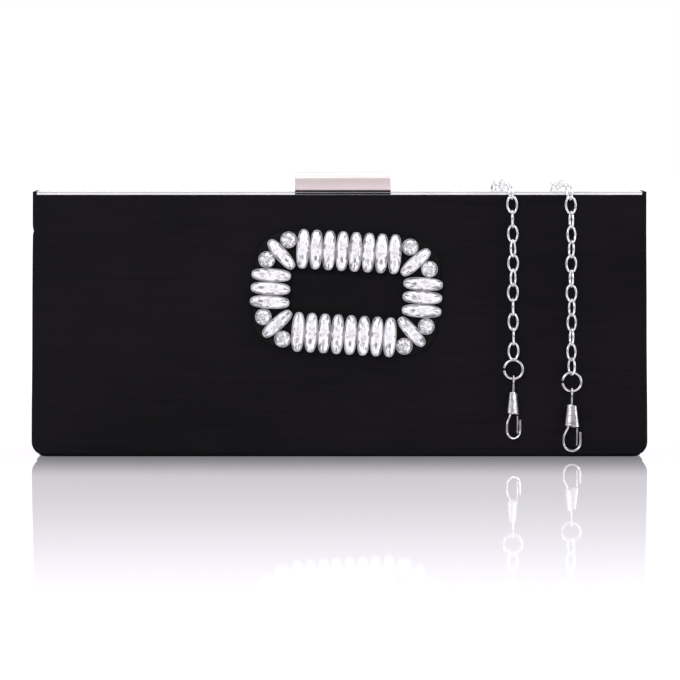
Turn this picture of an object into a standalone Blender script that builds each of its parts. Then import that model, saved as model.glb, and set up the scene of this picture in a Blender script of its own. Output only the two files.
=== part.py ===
"""Evening clutch bag: two stiff satin halves on a folded base, metal rails and a clasp bar on top,
pleated gussets, a crystal buckle on the front and a shoulder chain laid over the rails.

X is the width, -Y the front, +Z up. The origin is the middle of the flat base. Units are metres.
"""

import math

import bmesh
import bpy
from mathutils import Matrix, Vector

MM = 0.001

# Overall
WIDTH = 260 * MM
SATIN_TOP = 110 * MM  # top edge of the satin above the floor
BASE_DEPTH = 44 * MM  # front face to rear face at the hinge's height
TOP_DEPTH = 18 * MM  # the same at the satin's top edge
CORNER_RADIUS = 6 * MM  # lower corners, seen from the front
GAP = 0.3 * MM  # between pieces that touch

# Walls, from the outside in
SATIN_WALL = 1.6 * MM
BOARD_WALL = 2.0 * MM
LINING_WALL = 0.8 * MM
BASE_SATIN_WALL = 1.0 * MM
GUSSET_WALL = 0.8 * MM

# Hinge along the front of the base
PIN_RADIUS = 0.8 * MM
KNUCKLE_RADIUS = 1.8 * MM
HINGE_LENGTH = 200 * MM
HINGE_KNUCKLES = 7
LEAF_WALL = 0.8 * MM
LEAF_REACH = 12 * MM
SWING_ROOM = 0.6 * MM  # between a leaf's edge and the other leaf's knuckles
TAB_OVERLAP = 0.5 * MM  # how far a knuckle's tab runs into its leaf
FRONT_BEND = math.radians(55)  # how far the front satin turns under
REAR_BEND = math.radians(75)
BASE_FRONT_LIP = 0.5 * MM  # base satin past the hinge's axis
BASE_REAR_LIP = 0.4 * MM
BASE_BOARD_ROOM = 0.4 * MM  # base board's edge clear of the knuckles
BASE_BOARD_INSET = 0.1 * MM
BASE_LINING_ROOM = 0.5 * MM

# Rails
RAIL_RISE = 1.6 * MM  # rail top above the satin's edge
RAIL_INSET = 0.1 * MM
RAIL_PARTING = 0.2 * MM  # half of the slit between the rails
WEB_WALL = 1.0 * MM
WEB_DROP = 7 * MM
RETURN_WALL = 1.2 * MM
RETURN_DROP = 15 * MM
RETURN_INSET = 0.1 * MM

# Clasp
CLASP_X = 1.4 * MM
CLASP_WIDTH = 40.5 * MM
CLASP_BASE_WALL = 1.0 * MM
CLASP_RISE = 9.4 * MM  # top of the bar above the satin's edge
CLASP_CHAMFER = 1.8 * MM
CLASP_LIP = 0.7 * MM
CLASP_REACH = 8.0 * MM  # how far the front bar laps over the rear one
CLASP_ROOF = 1.5 * MM
CLASP_PROUD = 0.6 * MM  # front bar's face in front of the satin's top edge
CLASP_LIFT = 0.6 * MM  # foot of the front bar's lip above the rail
CLASP_REAR_INSET = 0.6 * MM
CLASP_ROOM = 0.35 * MM  # between the front bar's roof and the rear bar
CLASP_EDGE = 0.3 * MM
CLASP_BASE_NEAR = 0.1 * MM  # base plate's inner edge, past the rail's
CLASP_BASE_FAR = 0.4 * MM
RIVET_RADIUS = 0.6 * MM
RIVET_HEAD = 0.95 * MM
RIVET_OFFSET = 13 * MM
RIVET_Y = 1.35 * MM
RIVET_HEAD_WALL = 0.8 * MM

# Gussets, pocket and the loops that the chain clips to
PLEAT_DEPTH = 24 * MM
POCKET_WIDTH = 120 * MM
POCKET_FOOT = 35 * MM
POCKET_DROP = 30 * MM  # pocket's mouth below the satin's edge
POCKET_ROOM = 2.2 * MM
POCKET_WALL = 0.8 * MM
LOOP_X = 118 * MM
LOOP_RADIUS = 3.4 * MM
LOOP_WIRE = 0.5 * MM
LOOP_DROP = 9 * MM
LOOP_Y = 1.4 * MM
LOOP_ROOM = 0.4 * MM  # between a loop's ends and the rail

# Crystal buckle, on the front face
BUCKLE_X = 2.9 * MM
BUCKLE_DROP = 41.3 * MM  # buckle's middle below the satin's edge
BUCKLE_TILT = math.radians(-3.4)
PLATE_SIZE = (78 * MM, 49.6 * MM)
PLATE_WINDOW = (49 * MM, 20 * MM)
PLATE_CORNER = 13 * MM
WINDOW_CORNER = 4 * MM
PLATE_WALL = 1.2 * MM
STRIP_WALL = 1.0 * MM
OVAL_SIZE = (16.4 * MM, 5.2 * MM)
CORNER_OVAL_SIZE = (14.5 * MM, 5.0 * MM)
ROUND_SIZE = (6.6 * MM, 6.6 * MM)
STONE_HEIGHT = 3.4 * MM
STRIP_INSET = 1.5 * MM  # a row's strip inside its stones' ends
STRIP_SPARE = 1.2 * MM  # and past the middle of its end stones
GIRDLE_SHARE = 0.45
TABLE_SHARE = 0.55
ROW_COUNT = 8
ROW_PITCH = 5.54 * MM
ROW_V = 17.6 * MM
COLUMN_COUNT = 3
COLUMN_PITCH = 5.7 * MM
COLUMN_U = 32.1 * MM
CORNER_OVAL = (28.4 * MM, 14.7 * MM)
ROUND_STONES = {"upper": (25.7 * MM, 21.0 * MM), "lower": (34.4 * MM, 12.1 * MM)}

# Chain, with a split ring and a sprung hook at each end
CHAIN_RADIUS = 2.2 * MM
CHAIN_SPACING = 4 * MM
COIL_CENTRE = (79 * MM, 51.6 * MM)
COIL_OUTER = 28.0 * MM
COIL_INNER = 17.6 * MM
COIL_HEIGHT = 15.6 * MM
COIL_FOOT = 0.2 * MM
RING_RADIUS = 3.95 * MM
RING_WIRE = 0.55 * MM
RING_SPLIT = math.radians(15)
HOOK_STAND_OFF = 2.8 * MM  # hook wire's centre in front of the satin
HOOK_WIRE = 0.5 * MM
EYE_RADIUS = 1.7 * MM
EYE_ARC = math.radians(310)
WRAP_TOP = -5.5 * MM  # heights on a hook count from the ring's wire
WRAP_FOOT = -15.2 * MM
WRAP_RADII = (2.15 * MM, 3.35 * MM)
WRAP_WALL = 0.7 * MM
WRAP_FLATNESS = 0.55
BOW_RADIUS = 3.5 * MM
BOW_CENTRE = -21.6 * MM
TIP_HEIGHT = -17.2 * MM
LEG_INSET = 1.8 * MM  # the bow's leg where it leaves the wrap
LEG_RISE = 3 * MM  # top of the leg's straight above the bow's centre
WRAP_SPARE = 0.4 * MM
NECK_RISE = 0.9 * MM  # wire straight above the wrap, up to its eye
GATE_WIRE = 0.35 * MM
GATE_X = 2.1 * MM
GATE_TOP = -15.6 * MM
GATE_FOOT = -22.9 * MM
HOOKS = {"left": (73.3 * MM, 32.75 * MM, math.radians(35)), "right": (97.9 * MM, 27.55 * MM, 0.0)}

# Routes of the chain's free stretches, in millimetres: front end, over the rails, down to the coil.
# The front stretch of each stops at the slit between the rails, and the rear stretch goes on from there.
CHAIN_FRONT = {
    "left": (
        (73.3, -19.9, 41.6), (73.4, -18.7, 51), (73.1, -17.2, 64), (73.3, -15.5, 78), (73.2, -13.9, 91),
        (73.1, -12.6, 102), (72.8, -12.1, 109), (72.3, -11.1, 113.5), (71.3, -8.1, 114.8),
        (69.9, -3.5, 114.3), (68.9, -0.2, 114.2),
    ),
    "right": (
        (97.9, -20.5, 36.4), (97.8, -19.2, 47), (98.0, -17.7, 60), (97.8, -16.0, 74), (97.9, -14.4, 87),
        (97.9, -12.9, 99), (97.6, -12.1, 109), (97.0, -11.1, 113.5), (95.9, -8.1, 114.8),
        (94.3, -3.5, 114.3), (93.2, -0.2, 114.2),
    ),
}
CHAIN_REAR = {
    "left": (
        (68.8, 0.2, 114.2), (67.4, 5.0, 114.3), (66.5, 8.3, 114.8), (65.9, 11.3, 113.4), (65.6, 12.3, 109),
        (65.4, 13.2, 99), (65.2, 15.5, 80), (65.0, 17.9, 60), (64.8, 20.4, 40), (64.4, 22.7, 22),
        (63.3, 24.9, 12), (60.9, 26.6, 5.6), (57.9, 29.4, 2.9),
    ),
    "right": (
        (93.1, 0.2, 114.2), (91.9, 5.0, 114.3), (91.2, 8.3, 114.8), (90.8, 11.3, 113.4), (90.6, 12.3, 109),
        (90.5, 13.2, 99), (90.6, 15.5, 80), (90.8, 17.9, 60), (91.0, 20.4, 40), (91.4, 22.7, 22),
        (92.6, 24.9, 12), (96.0, 26.4, 6.6), (99.6, 28.7, 4.8),
    ),
}

# Worked out from the sizes above
PANEL_WALL = SATIN_WALL + GAP + BOARD_WALL + GAP + LINING_WALL
BOARD_DEPTH = SATIN_WALL + GAP  # behind the outer face
LINING_DEPTH = BOARD_DEPTH + BOARD_WALL + GAP
BEND_RADIUS = KNUCKLE_RADIUS + GAP + SATIN_WALL
AXIS_Z = BEND_RADIUS + GAP
AXIS_Y = BASE_DEPTH / 2 - BEND_RADIUS
TOP_Y = TOP_DEPTH / 2
FACE_RUN = math.hypot(AXIS_Y - TOP_Y, SATIN_TOP - AXIS_Z)
LEAN = math.acos(-BEND_RADIUS / FACE_RUN) - math.atan2(SATIN_TOP - AXIS_Z, AXIS_Y - TOP_Y)
INNER_X = WIDTH / 2 - SATIN_WALL - GAP
RAIL_TOP = SATIN_TOP + RAIL_RISE
RAIL_FOOT = SATIN_TOP + GAP
BASE_BOARD_FOOT = BASE_SATIN_WALL + GAP
BASE_LINING_FOOT = AXIS_Z - LEAF_WALL / 2
BASE_BOARD_TOP = BASE_LINING_FOOT - GAP  # the board fills the room under the leaf and the lining
KNUCKLE_CLEAR = KNUCKLE_RADIUS + SWING_ROOM
CLASP_BASE_TOP = RAIL_TOP + GAP + CLASP_BASE_WALL
CLASP_TOP = SATIN_TOP + CLASP_RISE
BUCKLE_Z = SATIN_TOP - BUCKLE_DROP
POCKET_TOP = SATIN_TOP - POCKET_DROP
COLOURS = {
    "satin": ((0.008, 0.007, 0.008), 0.55, 0.0),
    "board": ((0.30, 0.26, 0.21), 0.85, 0.0),
    "lining": ((0.012, 0.011, 0.013), 0.75, 0.0),
    "steel": ((0.80, 0.79, 0.78), 0.18, 1.0),
    "clasp": ((0.70, 0.62, 0.61), 0.30, 1.0),
    "crystal": ((0.88, 0.88, 0.93), 0.05, 0.3),
}

FRONT, REAR = -1, 1
SIDE_ON = Matrix(((0, 0, 1), (1, 0, 0), (0, 1, 0))).to_4x4()  # outline in Y and Z, thick along X
FRONT_ON = Matrix(((1, 0, 0), (0, 0, -1), (0, 1, 0))).to_4x4()  # outline in X and Z, thick along Y


def face_y(side, depth, z):
    """Y at height z of the plane that lies depth behind a half's outer face."""
    return side * (TOP_Y + (SATIN_TOP - z) * math.tan(LEAN) - depth / math.cos(LEAN))


def face_frame(x, z, proud=0.0):
    """Frame on the front face: first axis to the right, second up the face, third straight out of it."""
    up = Vector((0, math.sin(LEAN), math.cos(LEAN)))
    out = Vector((0, -math.cos(LEAN), math.sin(LEAN)))
    frame = Matrix((Vector((1, 0, 0)), up, out)).transposed().to_4x4()
    frame.translation = Vector((x, face_y(FRONT, 0, z), z)) + out * proud
    return frame


# ---- scene and bodies

for leftover in list(bpy.data.objects):
    bpy.data.objects.remove(leftover)
bag = bpy.data.collections.new("evening_bag")
cutters = bpy.data.collections.new("cutters")
bpy.context.scene.collection.children.link(bag)
bpy.context.scene.collection.children.link(cutters)
cutters.hide_render = True
materials = {}
bodies = {}


def add_body(name, parent=None, frame=Matrix()):
    """Empty on the joint's axis that carries the pieces of one moving body."""
    empty = bpy.data.objects.new("body_" + name, None)
    empty.empty_display_size = 5 * MM
    bag.objects.link(empty)
    empty.parent = bodies.get(parent)
    empty.matrix_world = frame
    bodies[name] = empty
    bpy.context.view_layer.update()


def finish_for(kind):
    if kind not in materials:
        colour, roughness, metallic = COLOURS[kind]
        material = bpy.data.materials.new(kind)
        material.use_nodes = True
        shader = material.node_tree.nodes["Principled BSDF"]
        shader.inputs["Base Color"].default_value = (*colour, 1)
        shader.inputs["Roughness"].default_value = roughness
        shader.inputs["Metallic"].default_value = metallic
        materials[kind] = material
    return materials[kind]


def add_piece(name, body, kind, data, frame=None):
    """One named piece of a body. Its data is in world coordinates, unless it has a frame of its own."""
    piece = bpy.data.objects.new(name, data)
    bag.objects.link(piece)
    piece.parent = bodies[body]
    if frame:
        piece.matrix_world = frame
    else:
        data.transform(bodies[body].matrix_world.inverted())
    own = finish_for(kind).copy()
    own.name = f"{kind}_{name}"
    data.materials.append(own)
    if piece.type == "MESH":
        data.shade_smooth()
        data.set_sharp_from_angle(angle=math.radians(35))
    return piece


def add_cutter(name, data, collection=cutters):
    cutter = bpy.data.objects.new(name, data)
    collection.objects.link(cutter)
    cutter.hide_render = True
    cutter.display_type = "WIRE"
    return cutter


def combine(piece, operation, other):
    """Boolean of a piece with one cutter, or with all the cutters of a collection."""
    boolean = piece.modifiers.new(operation.lower(), "BOOLEAN")
    boolean.operation = operation
    if isinstance(other, bpy.types.Collection):
        boolean.operand_type = "COLLECTION"
        boolean.collection = other
    else:
        boolean.object = other


def thicken(piece, wall, offset):
    solidify = piece.modifiers.new("wall", "SOLIDIFY")
    solidify.thickness = wall
    solidify.offset = offset
    solidify.use_even_offset = True


# ---- shapes


def mesh_of(curve, frame=Matrix()):
    """Closed mesh of a curve, with its caps welded on."""
    guide = bpy.data.objects.new("guide", curve)
    bpy.context.scene.collection.objects.link(guide)
    graph = bpy.context.evaluated_depsgraph_get()
    mesh = bpy.data.meshes.new_from_object(guide.evaluated_get(graph))
    bpy.data.objects.remove(guide)
    shape = bmesh.new()
    shape.from_mesh(mesh)
    bmesh.ops.remove_doubles(shape, verts=shape.verts, dist=0.001 * MM)
    bmesh.ops.recalc_face_normals(shape, faces=shape.faces)
    shape.to_mesh(mesh)
    shape.free()
    mesh.transform(frame)
    return mesh


def outline_mesh(outlines, half_depth, frame):
    """Flat outlines made thick both ways. A second outline inside the first is a window."""
    curve = bpy.data.curves.new("outline", "CURVE")
    curve.dimensions = "2D"
    curve.fill_mode = "BOTH"
    curve.extrude = half_depth
    for points in outlines:
        spline = curve.splines.new("POLY")
        spline.points.add(len(points) - 1)
        for point, (u, v) in zip(spline.points, points):
            point.co = (u, v, 0, 1)
        spline.use_cyclic_u = True
    return mesh_of(curve, frame)


def side_prism(points, half_width, x=0.0):
    """Outline in Y and Z, drawn out along X to half_width on each side of x."""
    return outline_mesh([points], half_width, Matrix.Translation((x, 0, 0)) @ SIDE_ON)


def wire(points, radius, resolution=2):
    """Round wire or cord through the points."""
    curve = bpy.data.curves.new("wire", "CURVE")
    curve.dimensions = "3D"
    curve.bevel_depth = radius
    curve.bevel_resolution = resolution
    curve.use_fill_caps = True
    spline = curve.splines.new("POLY")
    spline.points.add(len(points) - 1)
    for point, place in zip(spline.points, points):
        point.co = (*place, 1)
    return curve


def arc(centre, radius, start, turn, steps):
    """Points of an arc in a plane, as (u, v) pairs."""
    angles = [start + turn * i / steps for i in range(steps + 1)]
    return [(centre[0] + radius * math.cos(a), centre[1] + radius * math.sin(a)) for a in angles]


def rounded_rectangle(size, radius):
    """Outline of a rectangle with round corners, about the origin."""
    half_u, half_v = size[0] / 2 - radius, size[1] / 2 - radius
    corners = ((half_u, half_v), (-half_u, half_v), (-half_u, -half_v), (half_u, -half_v))
    points = []
    for quarter, corner in enumerate(corners):
        points += arc(corner, radius, quarter * math.pi / 2, math.pi / 2, 5)
    return points


def layer_outline(side, depth, wall, foot, top):
    """Side outline of one layer of a half, between two heights."""
    low = [(face_y(side, d, foot), foot) for d in (depth, depth + wall)]
    high = [(face_y(side, d, top), top) for d in (depth + wall, depth)]
    return low + high


def smooth_route(route, spacing):
    """Evenly spaced points on a Catmull-Rom curve through a route given in millimetres."""
    knots = [Vector(p) * MM for p in route]
    knots = [2 * knots[0] - knots[1], *knots, 2 * knots[-1] - knots[-2]]
    fine = []
    for a, b, c, d in zip(knots, knots[1:], knots[2:], knots[3:]):
        for step in range(20):
            t = step / 20
            fine.append(
                0.5 * (2 * b + (c - a) * t + (2 * a - 5 * b + 4 * c - d) * t**2 + (3 * b - a - 3 * c + d) * t**3)
            )
    fine.append(knots[-2])
    lengths = [0.0]
    for p, q in zip(fine, fine[1:]):
        lengths.append(lengths[-1] + (q - p).length)
    count = round(lengths[-1] / spacing)
    points = []
    at = 0
    for i in range(count + 1):
        goal = lengths[-1] * i / count
        while at < len(fine) - 2 and lengths[at + 1] < goal:
            at += 1
        share = (goal - lengths[at]) / (lengths[at + 1] - lengths[at])
        points.append(fine[at].lerp(fine[at + 1], share))
    return points


# ---- the two halves and the base


def satin_skin(name, body, side, bend):
    """Face, a short return at each end that rises to the rail's top, and the bend under the face."""
    centre = (-AXIS_Y, AXIS_Z)
    outer = arc(centre, BEND_RADIUS, math.pi - LEAN, LEAN + bend, 6)
    inner = arc(centre, BEND_RADIUS - SATIN_WALL, math.pi + bend, -LEAN - bend, 6)
    foot = inner[-1][1]
    outline = [(face_y(FRONT, 0, RAIL_TOP), RAIL_TOP), *outer, *inner]
    outline += [(face_y(FRONT, PANEL_WALL, z), z) for z in (foot, RAIL_TOP)]
    skin = add_piece(name, body, "satin", side_prism([(-side * y, z) for y, z in outline], WIDTH / 2))
    clear = 5 * MM
    room = [
        inner[-1], (face_y(FRONT, SATIN_WALL, SATIN_TOP), SATIN_TOP), (-TOP_Y - clear, SATIN_TOP),
        (-TOP_Y - clear, RAIL_TOP + clear), (clear, RAIL_TOP + clear), (clear, foot - MM),
    ]
    cutter = add_cutter(
        name + "_room", side_prism([(-side * y, z) for y, z in room], WIDTH / 2 - SATIN_WALL)
    )
    combine(skin, "DIFFERENCE", cutter)
    combine(skin, "INTERSECT", front_outline)


def build_half(label, body, side, board_foot, lining_foot):
    board = layer_outline(side, BOARD_DEPTH, BOARD_WALL, board_foot, SATIN_TOP)
    add_piece(label + "_board", body, "board", side_prism(board, INNER_X))
    lining = layer_outline(side, LINING_DEPTH, LINING_WALL, lining_foot, SATIN_TOP)
    add_piece(label + "_lining", body, "lining", side_prism(lining, INNER_X - GUSSET_WALL - GAP))


def build_base():
    half_x = INNER_X - CORNER_RADIUS / 2
    front_y = -AXIS_Y - BASE_FRONT_LIP
    rear_y = AXIS_Y + BASE_REAR_LIP
    satin = [(front_y, 0), (rear_y, 0), (rear_y, BASE_SATIN_WALL), (front_y, BASE_SATIN_WALL)]
    skin = add_piece("base_satin", "rear_half", "satin", side_prism(satin, WIDTH / 2))
    combine(skin, "INTERSECT", front_outline)
    front_y = -AXIS_Y + KNUCKLE_RADIUS + BASE_BOARD_ROOM
    rear_y = AXIS_Y - BASE_BOARD_INSET
    foot, top = BASE_BOARD_FOOT, BASE_BOARD_TOP
    board = [(front_y, foot), (rear_y, foot), (rear_y, top), (front_y, top)]
    add_piece("base_board", "rear_half", "board", side_prism(board, half_x))
    front_y = -AXIS_Y + KNUCKLE_CLEAR + LEAF_REACH + GAP
    rear_y = face_y(REAR, LINING_DEPTH - GAP + BASE_LINING_ROOM, AXIS_Z)
    foot, top = BASE_LINING_FOOT, BASE_LINING_FOOT + LINING_WALL
    lining = [(front_y, foot), (rear_y, foot), (rear_y, top), (front_y, top)]
    add_piece("base_lining", "rear_half", "lining", side_prism(lining, half_x))


def hinge_leaf(name, body, plate, tab, cells):
    """Leaf of the base hinge: a plate, with bored knuckles and their tabs at the given cells."""
    leaf = add_piece(name, body, "steel", side_prism(plate, HINGE_LENGTH / 2))
    knuckles = bpy.data.collections.new(name + "_knuckles")
    cutters.children.link(knuckles)
    pitch = HINGE_LENGTH / HINGE_KNUCKLES
    for cell in cells:
        x = (cell + 0.5) * pitch - HINGE_LENGTH / 2
        add_cutter(f"{name}_barrel_{cell}", side_prism(tab, pitch / 2 - GAP, x), knuckles)
    combine(leaf, "UNION", knuckles)
    combine(leaf, "DIFFERENCE", pin_bore)


def keyhole(direction, offset):
    """Side outline of a knuckle and the tab that runs from it, along direction, to its leaf."""
    half = LEAF_WALL / 2
    reach = KNUCKLE_CLEAR + TAB_OVERLAP
    low, high = offset - half, offset + half
    start = math.asin(high / KNUCKLE_RADIUS)
    end = 2 * math.pi + math.asin(low / KNUCKLE_RADIUS)
    points = arc((0, 0), KNUCKLE_RADIUS, start, end - start, 14) + [(reach, low), (reach, high)]
    turn = Matrix.Rotation(direction, 2)
    return [tuple(turn @ Vector(p) + Vector((-AXIS_Y, AXIS_Z))) for p in points]


def build_hinge():
    depth = LINING_DEPTH
    foot = AXIS_Z + KNUCKLE_CLEAR
    front_plate = layer_outline(FRONT, depth, LEAF_WALL, foot, foot + LEAF_REACH)
    shift = BEND_RADIUS - depth - LEAF_WALL / 2
    hinge_leaf(
        "hinge_leaf_front", "front_half", front_plate, keyhole(math.pi / 2 - LEAN, shift),
        range(1, HINGE_KNUCKLES, 2),
    )
    near = -AXIS_Y + KNUCKLE_CLEAR
    low, high = AXIS_Z - LEAF_WALL / 2, AXIS_Z + LEAF_WALL / 2
    base_plate = [(near, low), (near + LEAF_REACH, low), (near + LEAF_REACH, high), (near, high)]
    hinge_leaf("hinge_leaf_base", "rear_half", base_plate, keyhole(0, 0), range(0, HINGE_KNUCKLES, 2))
    pin = [Vector((x * HINGE_LENGTH / 2, -AXIS_Y, AXIS_Z)) for x in (-1, 1)]
    add_piece("hinge_pin", "rear_half", "steel", wire(pin, PIN_RADIUS, 3))


def build_gussets():
    """A folded sheet at each end: straight at the foot, and pleated inwards towards its top."""
    foot, top = BASE_BOARD_FOOT, SATIN_TOP - RETURN_DROP - GAP
    edge_depth = PANEL_WALL + 2 * GAP
    for label, end in (("left", -1), ("right", 1)):
        shape = bmesh.new()
        edge_x = end * (INNER_X - GUSSET_WALL / 2)
        line = [shape.verts.new((edge_x, y, foot)) for y in (
            face_y(FRONT, edge_depth, foot), 0, face_y(REAR, edge_depth, foot))]
        edges = [shape.edges.new(pair) for pair in zip(line, line[1:])]
        levels = 4
        for level in range(1, levels + 1):
            z = foot + (top - foot) * level / levels
            raised = bmesh.ops.extrude_edge_only(shape, edges=edges)["geom"]
            edges = [g for g in raised if isinstance(g, bmesh.types.BMEdge)]
            for vert in (g for g in raised if isinstance(g, bmesh.types.BMVert)):
                side = (vert.co.y > MM) - (vert.co.y < -MM)
                pleat = 0 if side else PLEAT_DEPTH * level / levels
                y = face_y(side, edge_depth, z) if side else 0
                vert.co = (edge_x - end * pleat, y, z)
        bmesh.ops.recalc_face_normals(shape, faces=shape.faces)
        mesh = bpy.data.meshes.new("gusset")
        shape.to_mesh(mesh)
        shape.free()
        thicken(add_piece("gusset_" + label, "rear_half", "satin", mesh), GUSSET_WALL, 0)


def build_pocket():
    """Slip pocket on the rear lining: a sheet turned back at its sides and foot."""
    start = PANEL_WALL + GAP
    outer = layer_outline(REAR, start, POCKET_ROOM + POCKET_WALL, POCKET_FOOT, POCKET_TOP)
    inner = layer_outline(REAR, start - MM, POCKET_ROOM + MM, POCKET_FOOT + POCKET_WALL, POCKET_TOP + MM)
    pocket = add_piece("slip_pocket", "rear_half", "lining", side_prism(outer, POCKET_WIDTH / 2))
    room = add_cutter("pocket_room", side_prism(inner, POCKET_WIDTH / 2 - POCKET_WALL))
    combine(pocket, "DIFFERENCE", room)


# ---- rails and clasp


def build_rail(label, body, side):
    """Flange along the top, a web behind the lining, and a plate down each end."""
    front = TOP_Y - RAIL_INSET
    web = TOP_Y - PANEL_WALL / math.cos(LEAN) - GAP
    outline = [
        (front, RAIL_FOOT), (front, RAIL_TOP), (RAIL_PARTING, RAIL_TOP), (RAIL_PARTING, RAIL_FOOT),
        (web - WEB_WALL, RAIL_FOOT), (web - WEB_WALL, SATIN_TOP - WEB_DROP),
        (web, SATIN_TOP - WEB_DROP), (web, RAIL_FOOT),
    ]
    rail = add_piece(
        label + "_rail", body, "steel", side_prism([(side * y, z) for y, z in outline], INNER_X)
    )
    foot = SATIN_TOP - RETURN_DROP
    top = RAIL_TOP - RAIL_RISE / 3
    depth = PANEL_WALL + GAP
    plate = [
        (face_y(side, depth, foot), foot), (face_y(side, depth, SATIN_TOP), SATIN_TOP),
        (face_y(side, depth, SATIN_TOP), top), (side * RAIL_PARTING, top), (side * RAIL_PARTING, foot),
    ]
    ends = bpy.data.collections.new(label + "_rail_ends")
    cutters.children.link(ends)
    for x in (-1, 1):
        centre = x * (INNER_X - RETURN_WALL / 2 - RETURN_INSET)
        add_cutter(f"{label}_rail_end_{x}", side_prism(plate, RETURN_WALL / 2, centre), ends)
    combine(rail, "UNION", ends)
    return rail


def build_clasp_half(label, body, side, bar_outline):
    rail = build_rail(label, body, side)
    near, far = RAIL_PARTING + CLASP_BASE_NEAR, TOP_Y - CLASP_BASE_FAR
    foot = RAIL_TOP + GAP
    plate = [(side * y, z) for y, z in
             ((near, foot), (near, CLASP_BASE_TOP), (far, CLASP_BASE_TOP), (far, foot))]
    base = add_piece(label + "_clasp_base", body, "steel", side_prism(plate, CLASP_WIDTH / 2, CLASP_X))
    bar = add_piece(label + "_clasp_bar", body, "clasp", side_prism(bar_outline, CLASP_WIDTH / 2, CLASP_X))
    bevel = bar.modifiers.new("edges", "BEVEL")
    bevel.width = CLASP_EDGE
    bevel.segments = 1
    bevel.limit_method = "ANGLE"
    rivet_y = side * RIVET_Y
    head_top = RAIL_FOOT - GAP
    head_foot = head_top - RIVET_HEAD_WALL
    profile = [
        (0, CLASP_BASE_TOP), (RIVET_RADIUS, CLASP_BASE_TOP), (RIVET_RADIUS, head_top),
        (RIVET_HEAD, head_top), (RIVET_HEAD, head_foot), (0, head_foot),
    ]
    for end, x in (("left", CLASP_X - RIVET_OFFSET), ("right", CLASP_X + RIVET_OFFSET)):
        hole = wire([Vector((x, rivet_y, z)) for z in (SATIN_TOP, CLASP_BASE_TOP + MM)], RIVET_RADIUS + GAP)
        hole_cutter = add_cutter(f"{label}_{end}_rivet_hole", mesh_of(hole))
        combine(rail, "DIFFERENCE", hole_cutter)
        combine(base, "DIFFERENCE", hole_cutter)
        place = Matrix.Translation((x, rivet_y, 0))
        turned(f"{label}_clasp_rivet_{end}", body, "steel", profile, place, 12)


def turned(name, body, kind, profile, frame, steps):
    """Piece turned about its own Z axis from a profile of (radius, height), outer side downwards."""
    mesh = bpy.data.meshes.new(name)
    mesh.from_pydata([(r, 0, z) for r, z in profile], [(i, i + 1) for i in range(len(profile) - 1)], [])
    piece = add_piece(name, body, kind, mesh, frame)
    screw = piece.modifiers.new("turn", "SCREW")
    screw.steps = steps
    screw.render_steps = steps
    screw.use_merge_vertices = True
    screw.merge_threshold = 0.01 * MM
    screw.use_smooth_shade = False
    return piece


def build_clasp():
    outer = TOP_Y + CLASP_PROUD
    lip = outer - CLASP_LIP
    bar_foot = CLASP_BASE_TOP + GAP
    lap = CLASP_TOP - CLASP_ROOF
    inner = RAIL_PARTING + GAP
    front_bar = [
        (-outer, RAIL_TOP + CLASP_LIFT), (-outer, CLASP_TOP - CLASP_CHAMFER),
        (-outer + CLASP_CHAMFER * 2 / 3, CLASP_TOP), (CLASP_REACH, CLASP_TOP), (CLASP_REACH, lap),
        (-inner, lap), (-inner, bar_foot), (-lip, bar_foot), (-lip, RAIL_TOP + CLASP_LIFT),
    ]
    rear_top = lap - CLASP_ROOM
    rear_far = TOP_Y - CLASP_REAR_INSET
    rear_bar = [(RAIL_PARTING, bar_foot), (rear_far, bar_foot), (rear_far, rear_top), (RAIL_PARTING, rear_top)]
    build_clasp_half("front", "front_half", FRONT, front_bar)
    build_clasp_half("rear", "rear_half", REAR, rear_bar)


def build_chain_loops():
    """Wire staples under the rear rail, where the chain's hooks clip on."""
    top, bend = RAIL_FOOT - LOOP_ROOM, SATIN_TOP - LOOP_DROP + LOOP_RADIUS
    for label, side in (("left", -1), ("right", 1)):
        bow = arc((side * LOOP_X, bend), LOOP_RADIUS, math.pi, math.pi, 8)
        staple = [(bow[0][0], top), *bow, (bow[-1][0], top)]
        add_piece(
            "chain_loop_" + label, "rear_half", "steel", wire([Vector((x, LOOP_Y, z)) for x, z in staple], LOOP_WIRE)
        )


# ---- crystal buckle


def stone_mesh(size, frame, sides):
    """Long or round stone: a straight girdle under a crown that narrows to a flat table."""
    shape = bmesh.new()
    bmesh.ops.create_cone(
        shape, cap_ends=True, segments=sides, radius1=0.5, radius2=0.5, depth=GIRDLE_SHARE * STONE_HEIGHT
    )
    power = 0.85 if size[0] > size[1] else 1.0
    for vert in shape.verts:
        for axis in (0, 1):
            share = 2 * vert.co[axis]
            vert.co[axis] = math.copysign(abs(share) ** power, share) * size[axis] / 2
    bmesh.ops.translate(shape, verts=shape.verts, vec=(0, 0, GIRDLE_SHARE * STONE_HEIGHT / 2))
    cap = max(shape.faces, key=lambda f: f.calc_center_median().z)
    raised = bmesh.ops.extrude_discrete_faces(shape, faces=[cap])["faces"][0]
    for vert in raised.verts:
        vert.co = (vert.co.x * TABLE_SHARE, vert.co.y * TABLE_SHARE, STONE_HEIGHT)
    bmesh.ops.recalc_face_normals(shape, faces=shape.faces)
    mesh = bpy.data.meshes.new("stone")
    shape.to_mesh(mesh)
    shape.free()
    mesh.transform(frame)
    return mesh


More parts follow.
